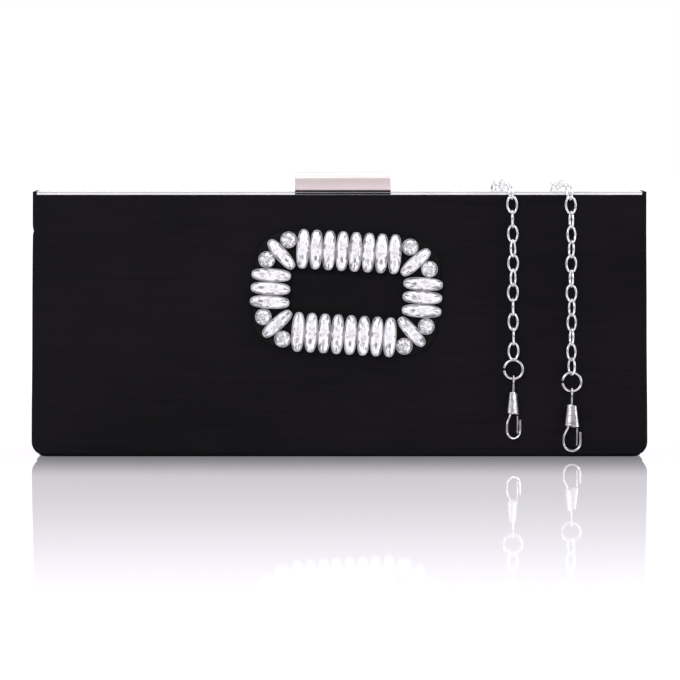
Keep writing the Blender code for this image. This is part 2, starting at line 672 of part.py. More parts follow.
def build_buckle():
    centre = face_frame(BUCKLE_X, BUCKLE_Z) @ Matrix.Rotation(BUCKLE_TILT, 4, "Z")
    plate_frame = centre @ Matrix.Translation((0, 0, GAP + PLATE_WALL / 2))
    rings = [rounded_rectangle(PLATE_SIZE, PLATE_CORNER), rounded_rectangle(PLATE_WINDOW, WINDOW_CORNER)]
    plate = outline_mesh(rings, PLATE_WALL / 2, plate_frame)
    add_piece("ornament_plate", "front_half", "steel", plate)
    seat = GAP + PLATE_WALL + GAP
    for label, count, pitch, middle, turn in (
        ("top_row", ROW_COUNT, ROW_PITCH, (0, ROW_V), math.pi / 2),
        ("bottom_row", ROW_COUNT, ROW_PITCH, (0, -ROW_V), math.pi / 2),
        ("left_row", COLUMN_COUNT, COLUMN_PITCH, (-COLUMN_U, 0), 0),
        ("right_row", COLUMN_COUNT, COLUMN_PITCH, (COLUMN_U, 0), 0),
    ):
        row = centre @ Matrix.Translation((*middle, seat)) @ Matrix.Rotation(turn, 4, "Z")
        half_length, half_run = OVAL_SIZE[0] / 2 - STRIP_INSET, pitch * (count - 1) / 2 + STRIP_SPARE
        corners = [(-half_length, -half_run), (half_length, -half_run), (half_length, half_run),
                   (-half_length, half_run)]
        strip_frame = row @ Matrix.Translation((0, 0, STRIP_WALL / 2))
        strip = outline_mesh([corners], STRIP_WALL / 2, strip_frame)
        piece = add_piece("crystals_" + label, "front_half", "crystal", strip)
        stones = bpy.data.collections.new("stones_" + label)
        cutters.children.link(stones)
        for i in range(count):
            shift = Matrix.Translation((0, (i - (count - 1) / 2) * pitch, STRIP_WALL / 2))
            add_cutter(f"{label}_stone_{i}", stone_mesh(OVAL_SIZE, row @ shift, 16), stones)
        combine(piece, "UNION", stones)
    for high, v in (("top", 1), ("bottom", -1)):
        for wide, u in (("left", -1), ("right", 1)):
            turn = Matrix.Rotation(math.atan2(v, u), 4, "Z")
            spot = centre @ Matrix.Translation((u * CORNER_OVAL[0], v * CORNER_OVAL[1], seat)) @ turn
            add_piece(
                f"crystal_corner_{high}_{wide}", "front_half", "crystal", stone_mesh(CORNER_OVAL_SIZE, spot, 16)
            )
            for step, (round_u, round_v) in ROUND_STONES.items():
                spot = centre @ Matrix.Translation((u * round_u, v * round_v, seat))
                name = f"crystal_round_{high}_{wide}_{'outer' if step == 'lower' else 'inner'}"
                add_piece(name, "front_half", "crystal", stone_mesh(ROUND_SIZE, spot, 12))


# ---- chain, rings and hooks


def hook_frame(x, z, twist):
    """Frame at the ring's lowest wire: the second axis up the face, turned about it by twist."""
    return face_frame(x, z, HOOK_STAND_OFF) @ Matrix.Rotation(twist, 4, "Y")


def build_drop(label):
    x, z, twist = HOOKS[label]
    straight = hook_frame(x, z, 0)
    turned_frame = hook_frame(x, z, twist)
    split = arc((0, RING_RADIUS), RING_RADIUS, math.pi + RING_SPLIT / 2, 2 * math.pi - RING_SPLIT, 24)
    ring = wire([straight @ Vector((u, v, 0)) for u, v in split], RING_WIRE)
    add_piece("jump_ring_" + label, "front_half", "steel", ring)

    bow = [(BOW_RADIUS, TIP_HEIGHT), *arc((0, BOW_CENTRE), BOW_RADIUS, 0, -math.pi, 10)]
    bow += [(-BOW_RADIUS, BOW_CENTRE + LEG_RISE), (-LEG_INSET, WRAP_FOOT - WRAP_SPARE), (0, WRAP_TOP + NECK_RISE)]
    path = [turned_frame @ Vector((u, v, 0)) for u, v in bow]
    eye_centre = -(EYE_RADIUS - HOOK_WIRE - RING_WIRE - GAP)
    eye = arc((0, eye_centre), EYE_RADIUS, -math.pi / 2, EYE_ARC, 14)
    path += [straight @ Vector((0, v, w)) for w, v in eye]
    add_piece("hook_wire_" + label, "hook_" + label, "steel", wire(path, HOOK_WIRE))

    top, foot = WRAP_RADII
    inner_top, inner_foot = top - WRAP_WALL, foot - WRAP_WALL
    profile = [(top, WRAP_TOP), (foot, WRAP_FOOT), (inner_foot, WRAP_FOOT), (inner_top, WRAP_TOP),
               (top, WRAP_TOP)]
    upright = turned_frame @ Matrix.Rotation(-math.pi / 2, 4, "X")
    frame = upright @ Matrix.Diagonal((1, WRAP_FLATNESS, 1, 1))
    turned("hook_wrap_" + label, "hook_" + label, "steel", profile, frame, 14)

    gate = [turned_frame @ Vector((GATE_X, v, 0)) for v in (GATE_TOP, (GATE_TOP + GATE_FOOT) / 2, GATE_FOOT)]
    add_piece("hook_gate_" + label, "gate_" + label, "steel", wire(gate, GATE_WIRE))


def build_chain():
    for label in ("left", "right"):
        front = wire(smooth_route(CHAIN_FRONT[label], CHAIN_SPACING), CHAIN_RADIUS)
        add_piece("chain_front_" + label, "front_half", "steel", front)
        rear = wire(smooth_route(CHAIN_REAR[label], CHAIN_SPACING), CHAIN_RADIUS)
        add_piece("chain_rear_" + label, "rear_half", "steel", rear)
    profile = [(COIL_OUTER, COIL_HEIGHT), (COIL_OUTER, 0), (COIL_INNER, 0), (COIL_INNER, COIL_HEIGHT),
               (COIL_OUTER, COIL_HEIGHT)]
    place = Matrix.Translation((*COIL_CENTRE, COIL_FOOT))
    turned("chain_coil", "rear_half", "steel", profile, place, 28)


# ---- the whole bag

add_body("rear_half")
add_body("front_half", "rear_half", Matrix.Translation((0, -AXIS_Y, AXIS_Z)))
for drop, (drop_x, drop_z, drop_twist) in HOOKS.items():
    add_body("hook_" + drop, "front_half", hook_frame(drop_x, drop_z, 0))
    gate_pivot = hook_frame(drop_x, drop_z, drop_twist) @ Matrix.Translation((GATE_X, GATE_TOP, 0))
    add_body("gate_" + drop, "hook_" + drop, gate_pivot)

corner_low = [(-WIDTH / 2, 2 * SATIN_TOP), (WIDTH / 2, 2 * SATIN_TOP)]
corner_low += arc((WIDTH / 2 - CORNER_RADIUS, CORNER_RADIUS), CORNER_RADIUS, 0, -math.pi / 2, 6)
corner_low += arc((-WIDTH / 2 + CORNER_RADIUS, CORNER_RADIUS), CORNER_RADIUS, -math.pi / 2, -math.pi / 2, 6)
front_outline = add_cutter("front_outline", outline_mesh([corner_low], 2 * BASE_DEPTH, FRONT_ON))
bore = [Vector((x * HINGE_LENGTH, -AXIS_Y, AXIS_Z)) for x in (-1, 1)]
pin_bore = add_cutter("pin_bore", mesh_of(wire(bore, PIN_RADIUS + GAP, 3)))

satin_skin("front_satin", "front_half", FRONT, FRONT_BEND)
satin_skin("rear_satin", "rear_half", REAR, REAR_BEND)
leaf_top = AXIS_Z + KNUCKLE_CLEAR + LEAF_REACH
build_half("front", "front_half", FRONT, AXIS_Z + KNUCKLE_CLEAR, leaf_top + GAP)
build_half("rear", "rear_half", REAR, AXIS_Z, BASE_LINING_FOOT + LINING_WALL + GAP)
build_base()
build_hinge()
build_gussets()
build_pocket()
build_clasp()
build_chain_loops()
build_buckle()
build_drop("left")
build_drop("right")
build_chain()
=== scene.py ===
# Evening bag: black satin over stiff halves, metal rails and clasp, crystal buckle, shoulder chain.
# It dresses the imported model. Lengths below are in millimetres unless a note says otherwise.
import math
import random

import bmesh
import bpy
from mathutils import Matrix, Vector, noise
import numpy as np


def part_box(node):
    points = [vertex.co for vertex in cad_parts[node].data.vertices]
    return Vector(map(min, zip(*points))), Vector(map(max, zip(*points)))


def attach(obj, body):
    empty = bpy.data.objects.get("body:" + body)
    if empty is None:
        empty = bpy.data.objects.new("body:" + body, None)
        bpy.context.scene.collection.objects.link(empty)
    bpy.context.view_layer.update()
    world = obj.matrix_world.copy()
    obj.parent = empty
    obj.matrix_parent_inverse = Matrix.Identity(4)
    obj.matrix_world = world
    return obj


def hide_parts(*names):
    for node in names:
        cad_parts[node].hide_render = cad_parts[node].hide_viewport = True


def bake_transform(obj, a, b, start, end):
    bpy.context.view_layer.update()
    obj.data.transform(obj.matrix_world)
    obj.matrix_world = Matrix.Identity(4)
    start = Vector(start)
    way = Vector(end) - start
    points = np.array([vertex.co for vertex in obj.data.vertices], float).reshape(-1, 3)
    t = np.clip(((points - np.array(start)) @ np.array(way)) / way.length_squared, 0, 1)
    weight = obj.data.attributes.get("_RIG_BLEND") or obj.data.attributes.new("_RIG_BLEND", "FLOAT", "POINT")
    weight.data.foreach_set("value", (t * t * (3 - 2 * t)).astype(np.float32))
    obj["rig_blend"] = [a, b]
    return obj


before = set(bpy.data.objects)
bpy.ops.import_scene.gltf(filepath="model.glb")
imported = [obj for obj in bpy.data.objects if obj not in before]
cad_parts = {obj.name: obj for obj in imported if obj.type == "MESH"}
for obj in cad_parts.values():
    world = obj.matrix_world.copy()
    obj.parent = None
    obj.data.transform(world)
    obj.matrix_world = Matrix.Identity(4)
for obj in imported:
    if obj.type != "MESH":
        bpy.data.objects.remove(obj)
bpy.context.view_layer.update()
mm = 0.001
print("frame loaded:", len(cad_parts), "nodes")


# ---- camera, light and floor

view = {"target": (0.2, -15.5, 49.1), "distance": 1597, "elevation": 4.0, "focal": 200}
studio = {
    "behind": (1.0, 1.0, 1.0), "before": (0.30, 0.29, 0.31), "beforeUntil": 0.22, "behindFrom": 0.55,
    "skyStrength": 1.0,
    "floorColour": (0.40, 0.385, 0.42), "floorGlow": 0.82, "glowColour": (0.98, 0.965, 1.0),
    "reflection": 0.52, "fadeStart": -60, "fadeEnd": -740, "rearStart": 120, "rearEnd": 420,
    "contact": 0.28, "contactStart": -20, "contactEnd": -110, "floorSize": 9000,
    "mirrorColour": (0.97, 0.95, 1.0, 1), "mirrorRoughness": 0.03,
}
lamps = {  # place and aim in metres, width and height in metres, watts
    "front_softbox": ((-0.7, -1.7, 1.25), (0, 0, 0.05), (1.1, 0.8), 11),
    "right_softbox": ((1.5, -0.6, 0.8), (0, 0, 0.06), (0.6, 1.0), 8),
    "top_softbox": ((0.1, 0.25, 1.7), (0, 0, 0.0), (1.4, 1.0), 11),
}


def addCamera():
    camera = bpy.data.objects.new("camera", bpy.data.cameras.new("camera"))
    bpy.context.scene.collection.objects.link(camera)
    tilt = math.radians(view["elevation"])
    away = Vector((0, -math.cos(tilt), math.sin(tilt)))
    camera.location = (Vector(view["target"]) + away * view["distance"]) * mm
    camera.rotation_euler = (math.pi / 2 - tilt, 0, 0)
    camera.data.lens = view["focal"]
    camera.data.sensor_width = 36
    camera.data.clip_start = 0.05
    camera.data.clip_end = 50
    bpy.context.scene.camera = camera


def addLamp(name, place, aim, size, power):
    light = bpy.data.lights.new(name, "AREA")
    light.shape = "RECTANGLE"
    light.size, light.size_y = size
    light.energy = power
    lamp = bpy.data.objects.new(name, light)
    lamp.location = place
    lamp.rotation_euler = (Vector(aim) - Vector(place)).to_track_quat("-Z", "Y").to_euler()
    bpy.context.scene.collection.objects.link(lamp)


# ---- shader building

class Value:
    # one number socket; arithmetic on it adds Math nodes
    def __init__(self, finish, socket):
        self.finish, self.socket = finish, socket

    def maths(self, operation, *others):
        made = self.finish.node("ShaderNodeMath", {"operation": operation}, self, *others)
        return Value(self.finish, made.outputs[0])

    def __add__(self, other):
        return self.maths("ADD", other)

    def __sub__(self, other):
        return self.maths("SUBTRACT", other)

    def __mul__(self, other):
        return self.maths("MULTIPLY", other)

    def __truediv__(self, other):
        return self.maths("DIVIDE", other)

    def __rsub__(self, other):
        return (self * -1) + other

    __radd__ = __add__
    __rmul__ = __mul__

    def above(self, limit):
        return self.maths("GREATER_THAN", limit)

    def below(self, limit):
        return self.maths("LESS_THAN", limit)

    def span(self, low, high, start=0.0, end=1.0):
        # smooth step of this value from start at low to end at high
        made = self.finish.node(
            "ShaderNodeMapRange", {"interpolation_type": "SMOOTHSTEP"}, self, low, high, start, end
        )
        return Value(self.finish, made.outputs[0])


class Finish:
    # one node material; node() is the only place that adds nodes
    def __init__(self, name, **constants):
        self.material = bpy.data.materials.new(name)
        self.material.use_nodes = True
        self.tree = self.material.node_tree
        self.shader = self.tree.nodes["Principled BSDF"]
        for socket, value in constants.items():
            self.shader.inputs[socketNames.get(socket, socket)].default_value = value

    def node(self, kind, settings=None, *values, **named):
        made = self.tree.nodes.new(kind)
        for name, value in (settings or {}).items():
            setattr(made, name, value)
        for key, value in [*enumerate(values), *named.items()]:
            if value is not None:
                self.put(made.inputs[key], value)
        return made

    def put(self, socket, value):
        value = getattr(value, "socket", value)
        if isinstance(value, bpy.types.NodeSocket):
            self.tree.links.new(value, socket)
        else:
            socket.default_value = value

    def vary(self, name, value):
        self.put(self.shader.inputs[socketNames.get(name, name)], value)

    def place(self, scale=(1, 1, 1)):
        # a point's place in metres, stretched along each axis
        where = self.node("ShaderNodeTexCoord").outputs["Object"]
        return self.node("ShaderNodeMapping", None, where, Scale=scale).outputs[0]

    def axes(self, vector):
        parts = self.node("ShaderNodeSeparateXYZ", None, vector)
        return [Value(self, part) for part in parts.outputs]

    def grain(self, where, scale, detail=2.0, roughness=0.5):
        made = self.node("ShaderNodeTexNoise", None, where, None, scale, detail, roughness)
        return Value(self, made.outputs[0])

    def mix(self, factor, first, second):
        made = self.node("ShaderNodeMix", {"data_type": "RGBA"})
        for index, value in ((0, factor), (6, first), (7, second)):
            self.put(made.inputs[index], tuple(value) + (1,) if isinstance(value, tuple) else value)
        return made.outputs[2]

    def bump(self, height, strength, distance):
        made = self.node("ShaderNodeBump", None, Strength=strength, Distance=distance, Height=height)
        self.put(self.shader.inputs["Normal"], made.outputs[0])


socketNames = {
    "colour": "Base Color", "glow": "Emission Color", "glowStrength": "Emission Strength",
    "roughness": "Roughness", "metallic": "Metallic", "coat": "Coat Weight",
    "coatRoughness": "Coat Roughness", "sheen": "Sheen Weight", "sheenRoughness": "Sheen Roughness",
    "sheenTint": "Sheen Tint", "ior": "IOR", "specular": "Specular IOR Level", "anisotropic": "Anisotropic",
}


def addStudio():
    scene = bpy.context.scene
    scene.view_settings.view_transform = "Standard"
    world = bpy.data.worlds.new("studio")
    scene.world = world
    world.use_nodes = True
    tree = world.node_tree
    where = tree.nodes.new("ShaderNodeTexCoord")
    parts = tree.nodes.new("ShaderNodeSeparateXYZ")
    ramp = tree.nodes.new("ShaderNodeValToRGB")
    low, high = ramp.color_ramp.elements
    low.position, low.color = studio["beforeUntil"], (*studio["before"], 1)
    high.position, high.color = studio["behindFrom"], (*studio["behind"], 1)
    tree.links.new(where.outputs["Generated"], parts.inputs[0])
    shift = tree.nodes.new("ShaderNodeMapRange")  # 0 straight ahead of the bag, 1 straight behind it
    shift.inputs["From Min"].default_value = -1
    tree.links.new(parts.outputs[1], shift.inputs["Value"])
    tree.links.new(shift.outputs[0], ramp.inputs[0])
    tree.links.new(ramp.outputs[0], tree.nodes["Background"].inputs[0])
    tree.nodes["Background"].inputs[1].default_value = studio["skyStrength"]

    for name, (place, aim, size, power) in lamps.items():
        addLamp(name, place, aim, size, power)

    shape = bmesh.new()
    bmesh.ops.create_grid(shape, x_segments=2, y_segments=2, size=studio["floorSize"] * mm / 2)
    mesh = bpy.data.meshes.new("floor")
    shape.to_mesh(mesh)
    shape.free()
    floor = bpy.data.objects.new("floor", mesh)
    scene.collection.objects.link(floor)
    mesh.materials.append(floorFinish())


def floorFinish():
    finish = Finish(
        "glossy_floor", colour=(*studio["floorColour"], 1), roughness=0.9, specular=0.0,
        glow=(*studio["glowColour"], 1), glowStrength=studio["floorGlow"],
    )
    mirror = finish.node(
        "ShaderNodeBsdfGlossy", None, Color=studio["mirrorColour"], Roughness=studio["mirrorRoughness"],
    )
    y = finish.axes(finish.place())[1]
    share = y.span(studio["fadeEnd"] * mm, studio["fadeStart"] * mm, 0.0, studio["reflection"])
    share = share + y.span(studio["contactEnd"] * mm, studio["contactStart"] * mm, 0.0, studio["contact"])
    share = share * y.span(studio["rearStart"] * mm, studio["rearEnd"] * mm, 1.0, 0.0)
    both = finish.node("ShaderNodeMixShader", None, share, finish.shader.outputs[0], mirror.outputs[0])
    output = finish.tree.nodes["Material Output"]
    finish.tree.links.new(both.outputs[0], output.inputs[0])
    return finish.material


addCamera()
addStudio()
print("camera, studio light and floor placed")


# ---- shared mesh helpers

def addPiece(name, shape, finish, smoothAngle=40):
    # a new piece from a finished bmesh, with its place in its mesh
    mesh = bpy.data.meshes.new(name)
    shape.to_mesh(mesh)
    shape.free()
    piece = bpy.data.objects.new(name, mesh)
    bpy.context.scene.collection.objects.link(piece)
    mesh.materials.append(finish)
    if smoothAngle:
        mesh.shade_smooth()
        mesh.set_sharp_from_angle(angle=math.radians(smoothAngle))
    return piece


def smoothRoute(route, spacing):
    # evenly spaced points, in metres, on a smooth curve through a route in millimetres
    knots = [Vector(p) * mm for p in route]
    knots = [2 * knots[0] - knots[1], *knots, 2 * knots[-1] - knots[-2]]
    fine = []
    for a, b, c, d in zip(knots, knots[1:], knots[2:], knots[3:]):
        for step in range(20):
            t = step / 20
            fine.append(
                0.5 * (2 * b + (c - a) * t + (2 * a - 5 * b + 4 * c - d) * t**2
                       + (3 * b - a - 3 * c + d) * t**3)
            )
    fine.append(knots[-2])
    lengths = [0.0]
    for p, q in zip(fine, fine[1:]):
        lengths.append(lengths[-1] + (q - p).length)
    count = round(lengths[-1] / (spacing * mm))
    points = []
    at = 0
    for i in range(count + 1):
        goal = lengths[-1] * i / count
        while at < len(fine) - 2 and lengths[at + 1] < goal:
            at += 1
        share = (goal - lengths[at]) / (lengths[at + 1] - lengths[at])
        points.append(fine[at].lerp(fine[at + 1], share))
    return points, lengths[-1]


def sweepWire(shape, points, radius, sides):
    # round wire through the points, by moving one extruded ring of edges from point to point
    tangents = [
        (after - before).normalized()
        for before, after in zip([points[0], *points[:-1]], [*points[1:], points[-1]])
    ]
    side = tangents[0].orthogonal().normalized()
    frames = []
    for point, tangent in zip(points, tangents):
        side = (side - tangent * side.dot(tangent)).normalized()
        place = Matrix((side, tangent.cross(side), tangent)).transposed().to_4x4()
        place.translation = point
        frames.append(place)
    ring = bmesh.ops.create_circle(shape, segments=sides, radius=radius, matrix=frames[0])["verts"]
    edges = list({edge for vert in ring for edge in vert.link_edges})
    first = edges
    for before, after in zip(frames, frames[1:]):
        raised = bmesh.ops.extrude_edge_only(shape, edges=edges)["geom"]
        edges = [part for part in raised if isinstance(part, bmesh.types.BMEdge)]
        moved = [part for part in raised if isinstance(part, bmesh.types.BMVert)]
        edges = [edge for edge in edges if edge.verts[0] in moved and edge.verts[1] in moved]
        bmesh.ops.transform(shape, matrix=after @ before.inverted(), verts=moved)
    bmesh.ops.holes_fill(shape, edges=first + edges, sides=0)
    bmesh.ops.recalc_face_normals(shape, faces=shape.faces)


def silverFinish(name, settings):
    # polished plate with faint handling marks, darker where soft noise leaves tarnish
    finish = Finish(name, metallic=settings.get("metallic", 1.0), coat=0.15, coatRoughness=0.06, ior=1.6)
    where = finish.place()
    haze = finish.grain(where, settings["hazeScale"], 4, 0.6)
    marks = finish.grain(where, settings["markScale"], 3, 0.7)
    finish.vary("colour", finish.mix(haze.span(0.3, 0.75), settings["bright"], settings["dull"]))
    finish.vary("roughness", settings["roughness"] + haze * settings["spread"] + marks * 0.03)
    finish.bump(marks, settings["markDepth"], 0.04 * mm)
    return finish.material


# ---- shoulder chain: one cord from the left hook, over the rails, round a coil and back

chain = {
    "linkLength": 8.3, "linkWidth": 5.3, "wire": 1.1, "pitch": 6.2, "seed": 7, "twist": 24, "alternate": 78,
    "drift": 14, "play": 16,
    "metallic": 0.8, "bright": (0.95, 0.95, 0.96), "dull": (0.74, 0.73, 0.75),
    "roughness": 0.12, "spread": 0.10, "hazeScale": 260, "markScale": 1800, "markDepth": 0.25,
    "leftFront": (
        (73.3, -19.9, 41.6), (73.4, -18.7, 51), (73.1, -17.2, 64), (73.3, -15.5, 78), (73.2, -13.9, 91),
        (73.1, -12.6, 102), (72.8, -12.1, 109), (72.3, -11.1, 113.5), (71.3, -8.1, 114.8),
        (69.9, -3.5, 114.3), (68.9, -0.2, 114.2),
    ),
    "rightFront": (
        (97.9, -20.5, 36.4), (97.8, -19.2, 47), (98.0, -17.7, 60), (97.8, -16.0, 74), (97.9, -14.4, 87),
        (97.9, -12.9, 99), (97.6, -12.1, 109), (97.0, -11.1, 113.5), (95.9, -8.1, 114.8),
        (94.3, -3.5, 114.3), (93.2, -0.2, 114.2),
    ),
    "leftRear": (
        (68.8, 0.2, 114.2), (67.4, 5.0, 114.3), (66.5, 8.3, 114.8), (65.9, 11.3, 113.4), (65.6, 12.3, 109),
        (65.4, 13.2, 99), (65.2, 15.5, 80), (65.0, 17.9, 60), (64.8, 20.4, 40), (64.4, 22.7, 22),
        (63.3, 24.9, 12), (60.9, 26.6, 5.6), (57.9, 29.4, 2.9),
    ),
    "rightRear": (
        (93.1, 0.2, 114.2), (91.9, 5.0, 114.3), (91.2, 8.3, 114.8), (90.8, 11.3, 113.4), (90.6, 12.3, 109),
        (90.5, 13.2, 99), (90.6, 15.5, 80), (90.8, 17.9, 60), (91.0, 20.4, 40), (91.4, 22.7, 22),
        (92.6, 24.9, 12), (96.0, 26.4, 6.6), (99.6, 28.7, 4.8),
    ),
    "coilCentre": (79, 51.6), "outerTurn": 25.2, "innerTurn": 20.2, "levels": (2.8, 8.0, 13.2),
    "turns": 4.5, "easeOver": 0.2,
    "toCoil": ((55.2, 35.5, 2.8), (53.9, 43.5, 2.8)),
    "fromCoil": ((104.5, 43.5, 12.8), (103.6, 36.5, 10.6), (102.2, 31.8, 7.6)),
}


def coilPoints():
    # four and a half turns clockwise, side by side and then on top
    outer, inner = chain["outerTurn"], chain["innerTurn"]
    radii = [outer, inner, inner, outer, outer]
    low, middle, high = chain["levels"]
    heights = [low, low, middle, middle, high]
    perTurn = 14
    points = []
    for i in range(int(chain["turns"] * perTurn) + 1):
        turns = i / perTurn
        stage = int(turns)
        radius, height = radii[stage], heights[stage]
        share = (turns - stage) / chain["easeOver"]
        if share < 1 and stage:  # ease over from the turn before
            ease = share**2 * (3 - 2 * share)
            radius = radii[stage - 1] * (1 - ease) + radius * ease
            height = heights[stage - 1] * (1 - ease) + height * ease
        angle = math.pi - turns * 2 * math.pi
        points.append((
            chain["coilCentre"][0] + radius * math.cos(angle),
            chain["coilCentre"][1] + radius * math.sin(angle), height,
        ))
    return points


def linkShape(around, sides):
    # one oval link lying along X: a wire ring drawn out to its length
    shape = bmesh.new()
    wire = chain["wire"] / 2
    middle = chain["linkWidth"] / 2 - wire
    turn = Matrix.Rotation(math.pi / 2, 4, "X")
    start = Matrix.Rotation(math.pi / around, 4, "Z") @ Matrix.Translation((middle, 0, 0)) @ turn
    ring = bmesh.ops.create_circle(shape, segments=sides, radius=wire, matrix=start)["verts"]
    bmesh.ops.spin(
        shape, geom=ring + list({e for v in ring for e in v.link_edges}), cent=(0, 0, 0), axis=(0, 0, 1),
        angle=2 * math.pi, steps=around, use_merge=True,
    )
    bmesh.ops.remove_doubles(shape, verts=shape.verts, dist=0.001)
    middleLength, middleWidth = chain["linkLength"] / 2 - wire, chain["linkWidth"] / 2 - wire
    for vert in shape.verts:  # drawn out into an oval, the wire staying round
        outward = Vector((vert.co.x, vert.co.y)).normalized()
        vert.co.x += outward.x * (middleLength - middle)
        vert.co.y += outward.y * (middleWidth - middle)
    bmesh.ops.recalc_face_normals(shape, faces=shape.faces)
    mesh = bpy.data.meshes.new("link")
    shape.to_mesh(mesh)
    shape.free()
    return mesh


def addChain():
    draw = random.Random(chain["seed"])
    route = [*chain["leftFront"], *chain["leftRear"], *chain["toCoil"], *coilPoints(), *chain["fromCoil"]]
    route += [*reversed(chain["rightRear"]), *reversed(chain["rightFront"])]
    path, length = smoothRoute(route, 2.0)
    count = round((length / mm + chain["linkLength"] - chain["pitch"]) / chain["pitch"])
    pitch = length / count
    reached = [0.0]  # how far along the path each point lies
    for p, q in zip(path, path[1:]):
        reached.append(reached[-1] + (q - p).length)

    def at(distance):
        distance = min(max(distance, 0), length)
        index = min(int(distance / length * (len(path) - 1)), len(path) - 2)
        while reached[index + 1] < distance and index < len(path) - 2:
            index += 1
        share = (distance - reached[index]) / (reached[index + 1] - reached[index])
        return path[index].lerp(path[index + 1], share)

    fineLink, plainLink = linkShape(14, 6), linkShape(10, 5)
    shape = bmesh.new()
    side = Vector((1, 0, 0))
    drift = 0.0
    for i in range(count):
        start, end = at(i * pitch), at((i + 1) * pitch)
        along = (end - start).normalized()
        side = (side - along * side.dot(along)).normalized()
        drift = drift * 0.8 + draw.uniform(-chain["drift"], chain["drift"])
        play = draw.uniform(-chain["play"], chain["play"])
        roll = math.radians(chain["twist"] + chain["alternate"] * (i % 2) + drift + play)
        upright = (side * math.cos(roll) + along.cross(side) * math.sin(roll)).normalized()
        place = Matrix((along, upright, along.cross(upright))).transposed().to_4x4()
        place.translation = (start + end) / 2
        seen = place.translation.y < 12 * mm and place.translation.z > 20 * mm  # in front and on the rails
        before = len(shape.verts)
        shape.from_mesh(fineLink if seen else plainLink)
        shape.verts.ensure_lookup_table()
        bmesh.ops.transform(shape, matrix=place @ Matrix.Scale(mm, 4), verts=shape.verts[before:])
    piece = addPiece("shoulder_chain", shape, silverFinish("chain_silver", chain), 75)
    print("chain:", count, "links over", round(length, 4), "m, pitch", round(pitch / mm, 3), "mm")
    return piece, path, length


shoulderChain, chainPath, chainLength = addChain()
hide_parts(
    "chain_front_left", "chain_front_right", "chain_rear_left", "chain_rear_right",
    "chain_coil",
)


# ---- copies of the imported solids, softened at their edges

def looseCopy(node, cuts=()):
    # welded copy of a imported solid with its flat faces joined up, cut across at the given planes
    shape = bmesh.new()
    shape.from_mesh(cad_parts[node].data)
    bmesh.ops.remove_doubles(shape, verts=shape.verts, dist=0.00001)
    bmesh.ops.dissolve_limit(
        shape, angle_limit=math.radians(1), verts=shape.verts, edges=shape.edges, delimit=set()
    )
    bmesh.ops.recalc_face_normals(shape, faces=shape.faces)
    for axis, places in cuts:
        for place in places:
            bmesh.ops.bisect_plane(
                shape, geom=shape.verts[:] + shape.edges[:] + shape.faces[:], dist=0.000001,
                plane_co=Vector(axis) * place * mm, plane_no=axis,
            )
    return shape


def roundEdges(shape, width, segments=2, angle=35):
    sharp = [
        edge for edge in shape.edges
        if len(edge.link_faces) == 2 and edge.calc_face_angle() > math.radians(angle)
    ]
    bmesh.ops.bevel(
        shape, geom=sharp, offset=width * mm, offset_type="OFFSET", segments=segments, profile=0.5,
        affect="EDGES", clamp_overlap=True, material=-1,
    )


def steps(low, high, spacing):
    count = max(1, round((high - low) / spacing))
    return [low + (high - low) * i / count for i in range(count + 1)]


# ---- black satin

satin = {
    "deep": (0.0022, 0.0017, 0.0021), "lit": (0.0075, 0.0062, 0.0078), "roughness": 0.44,
    "sheen": 0.05, "sheenRoughness": 0.35, "threadPitch": 0.30, "threadDepth": 0.030,
    "slubScale": 130, "swell": 0.16, "edge": 0.7,
    "notchHeight": 95, "notchDepth": 0.45, "notchSpread": 1.2, "lift": 0.7, "liftRun": 19, "liftTop": 12,
    "swellFoot": 8, "swellTop": 109, "fadeIn": 12, "fadeSide": 30, "sideWear": 0.12,
}


def satinFinish():
    # warp-faced weave: fine threads run across the bag, with slubs and a soft sheen
    finish = Finish(
        "black_satin", sheen=satin["sheen"], sheenRoughness=satin["sheenRoughness"],
        sheenTint=(0.55, 0.52, 0.58, 1), specular=0.10, ior=1.45, anisotropic=0.35,
    )
    where = finish.place()
    x, y, z = finish.axes(where)
    perMetre = 2 * math.pi / (satin["threadPitch"] * mm)
    wander = finish.grain(finish.place(scale=(30, 400, 400)), 1.0, 2)
    threads = (z * perMetre + y * perMetre * 0.6 + wander * 9).maths("SINE")
    across = (x * perMetre * 0.45 + wander * 7).maths("SINE")
    long, fine = satin["slubScale"] / 5, satin["slubScale"] * 6
    slub = finish.grain(finish.place(scale=(long, fine, fine)), 1.0, 3, 0.65)
    cloud = finish.grain(where, 18, 3, 0.5)
    tone = (slub * 0.6 + cloud * 0.5 + threads * 0.05).span(0.25, 0.85)
    finish.vary("colour", finish.mix(tone, satin["deep"], satin["lit"]))
    finish.vary("roughness", satin["roughness"] + slub * 0.14 - threads * 0.03)
    finish.bump(threads * 0.6 + across * 0.2 + slub * 1.4, 0.55, satin["threadDepth"] * mm)
    return finish.material


satinCloth = satinFinish()


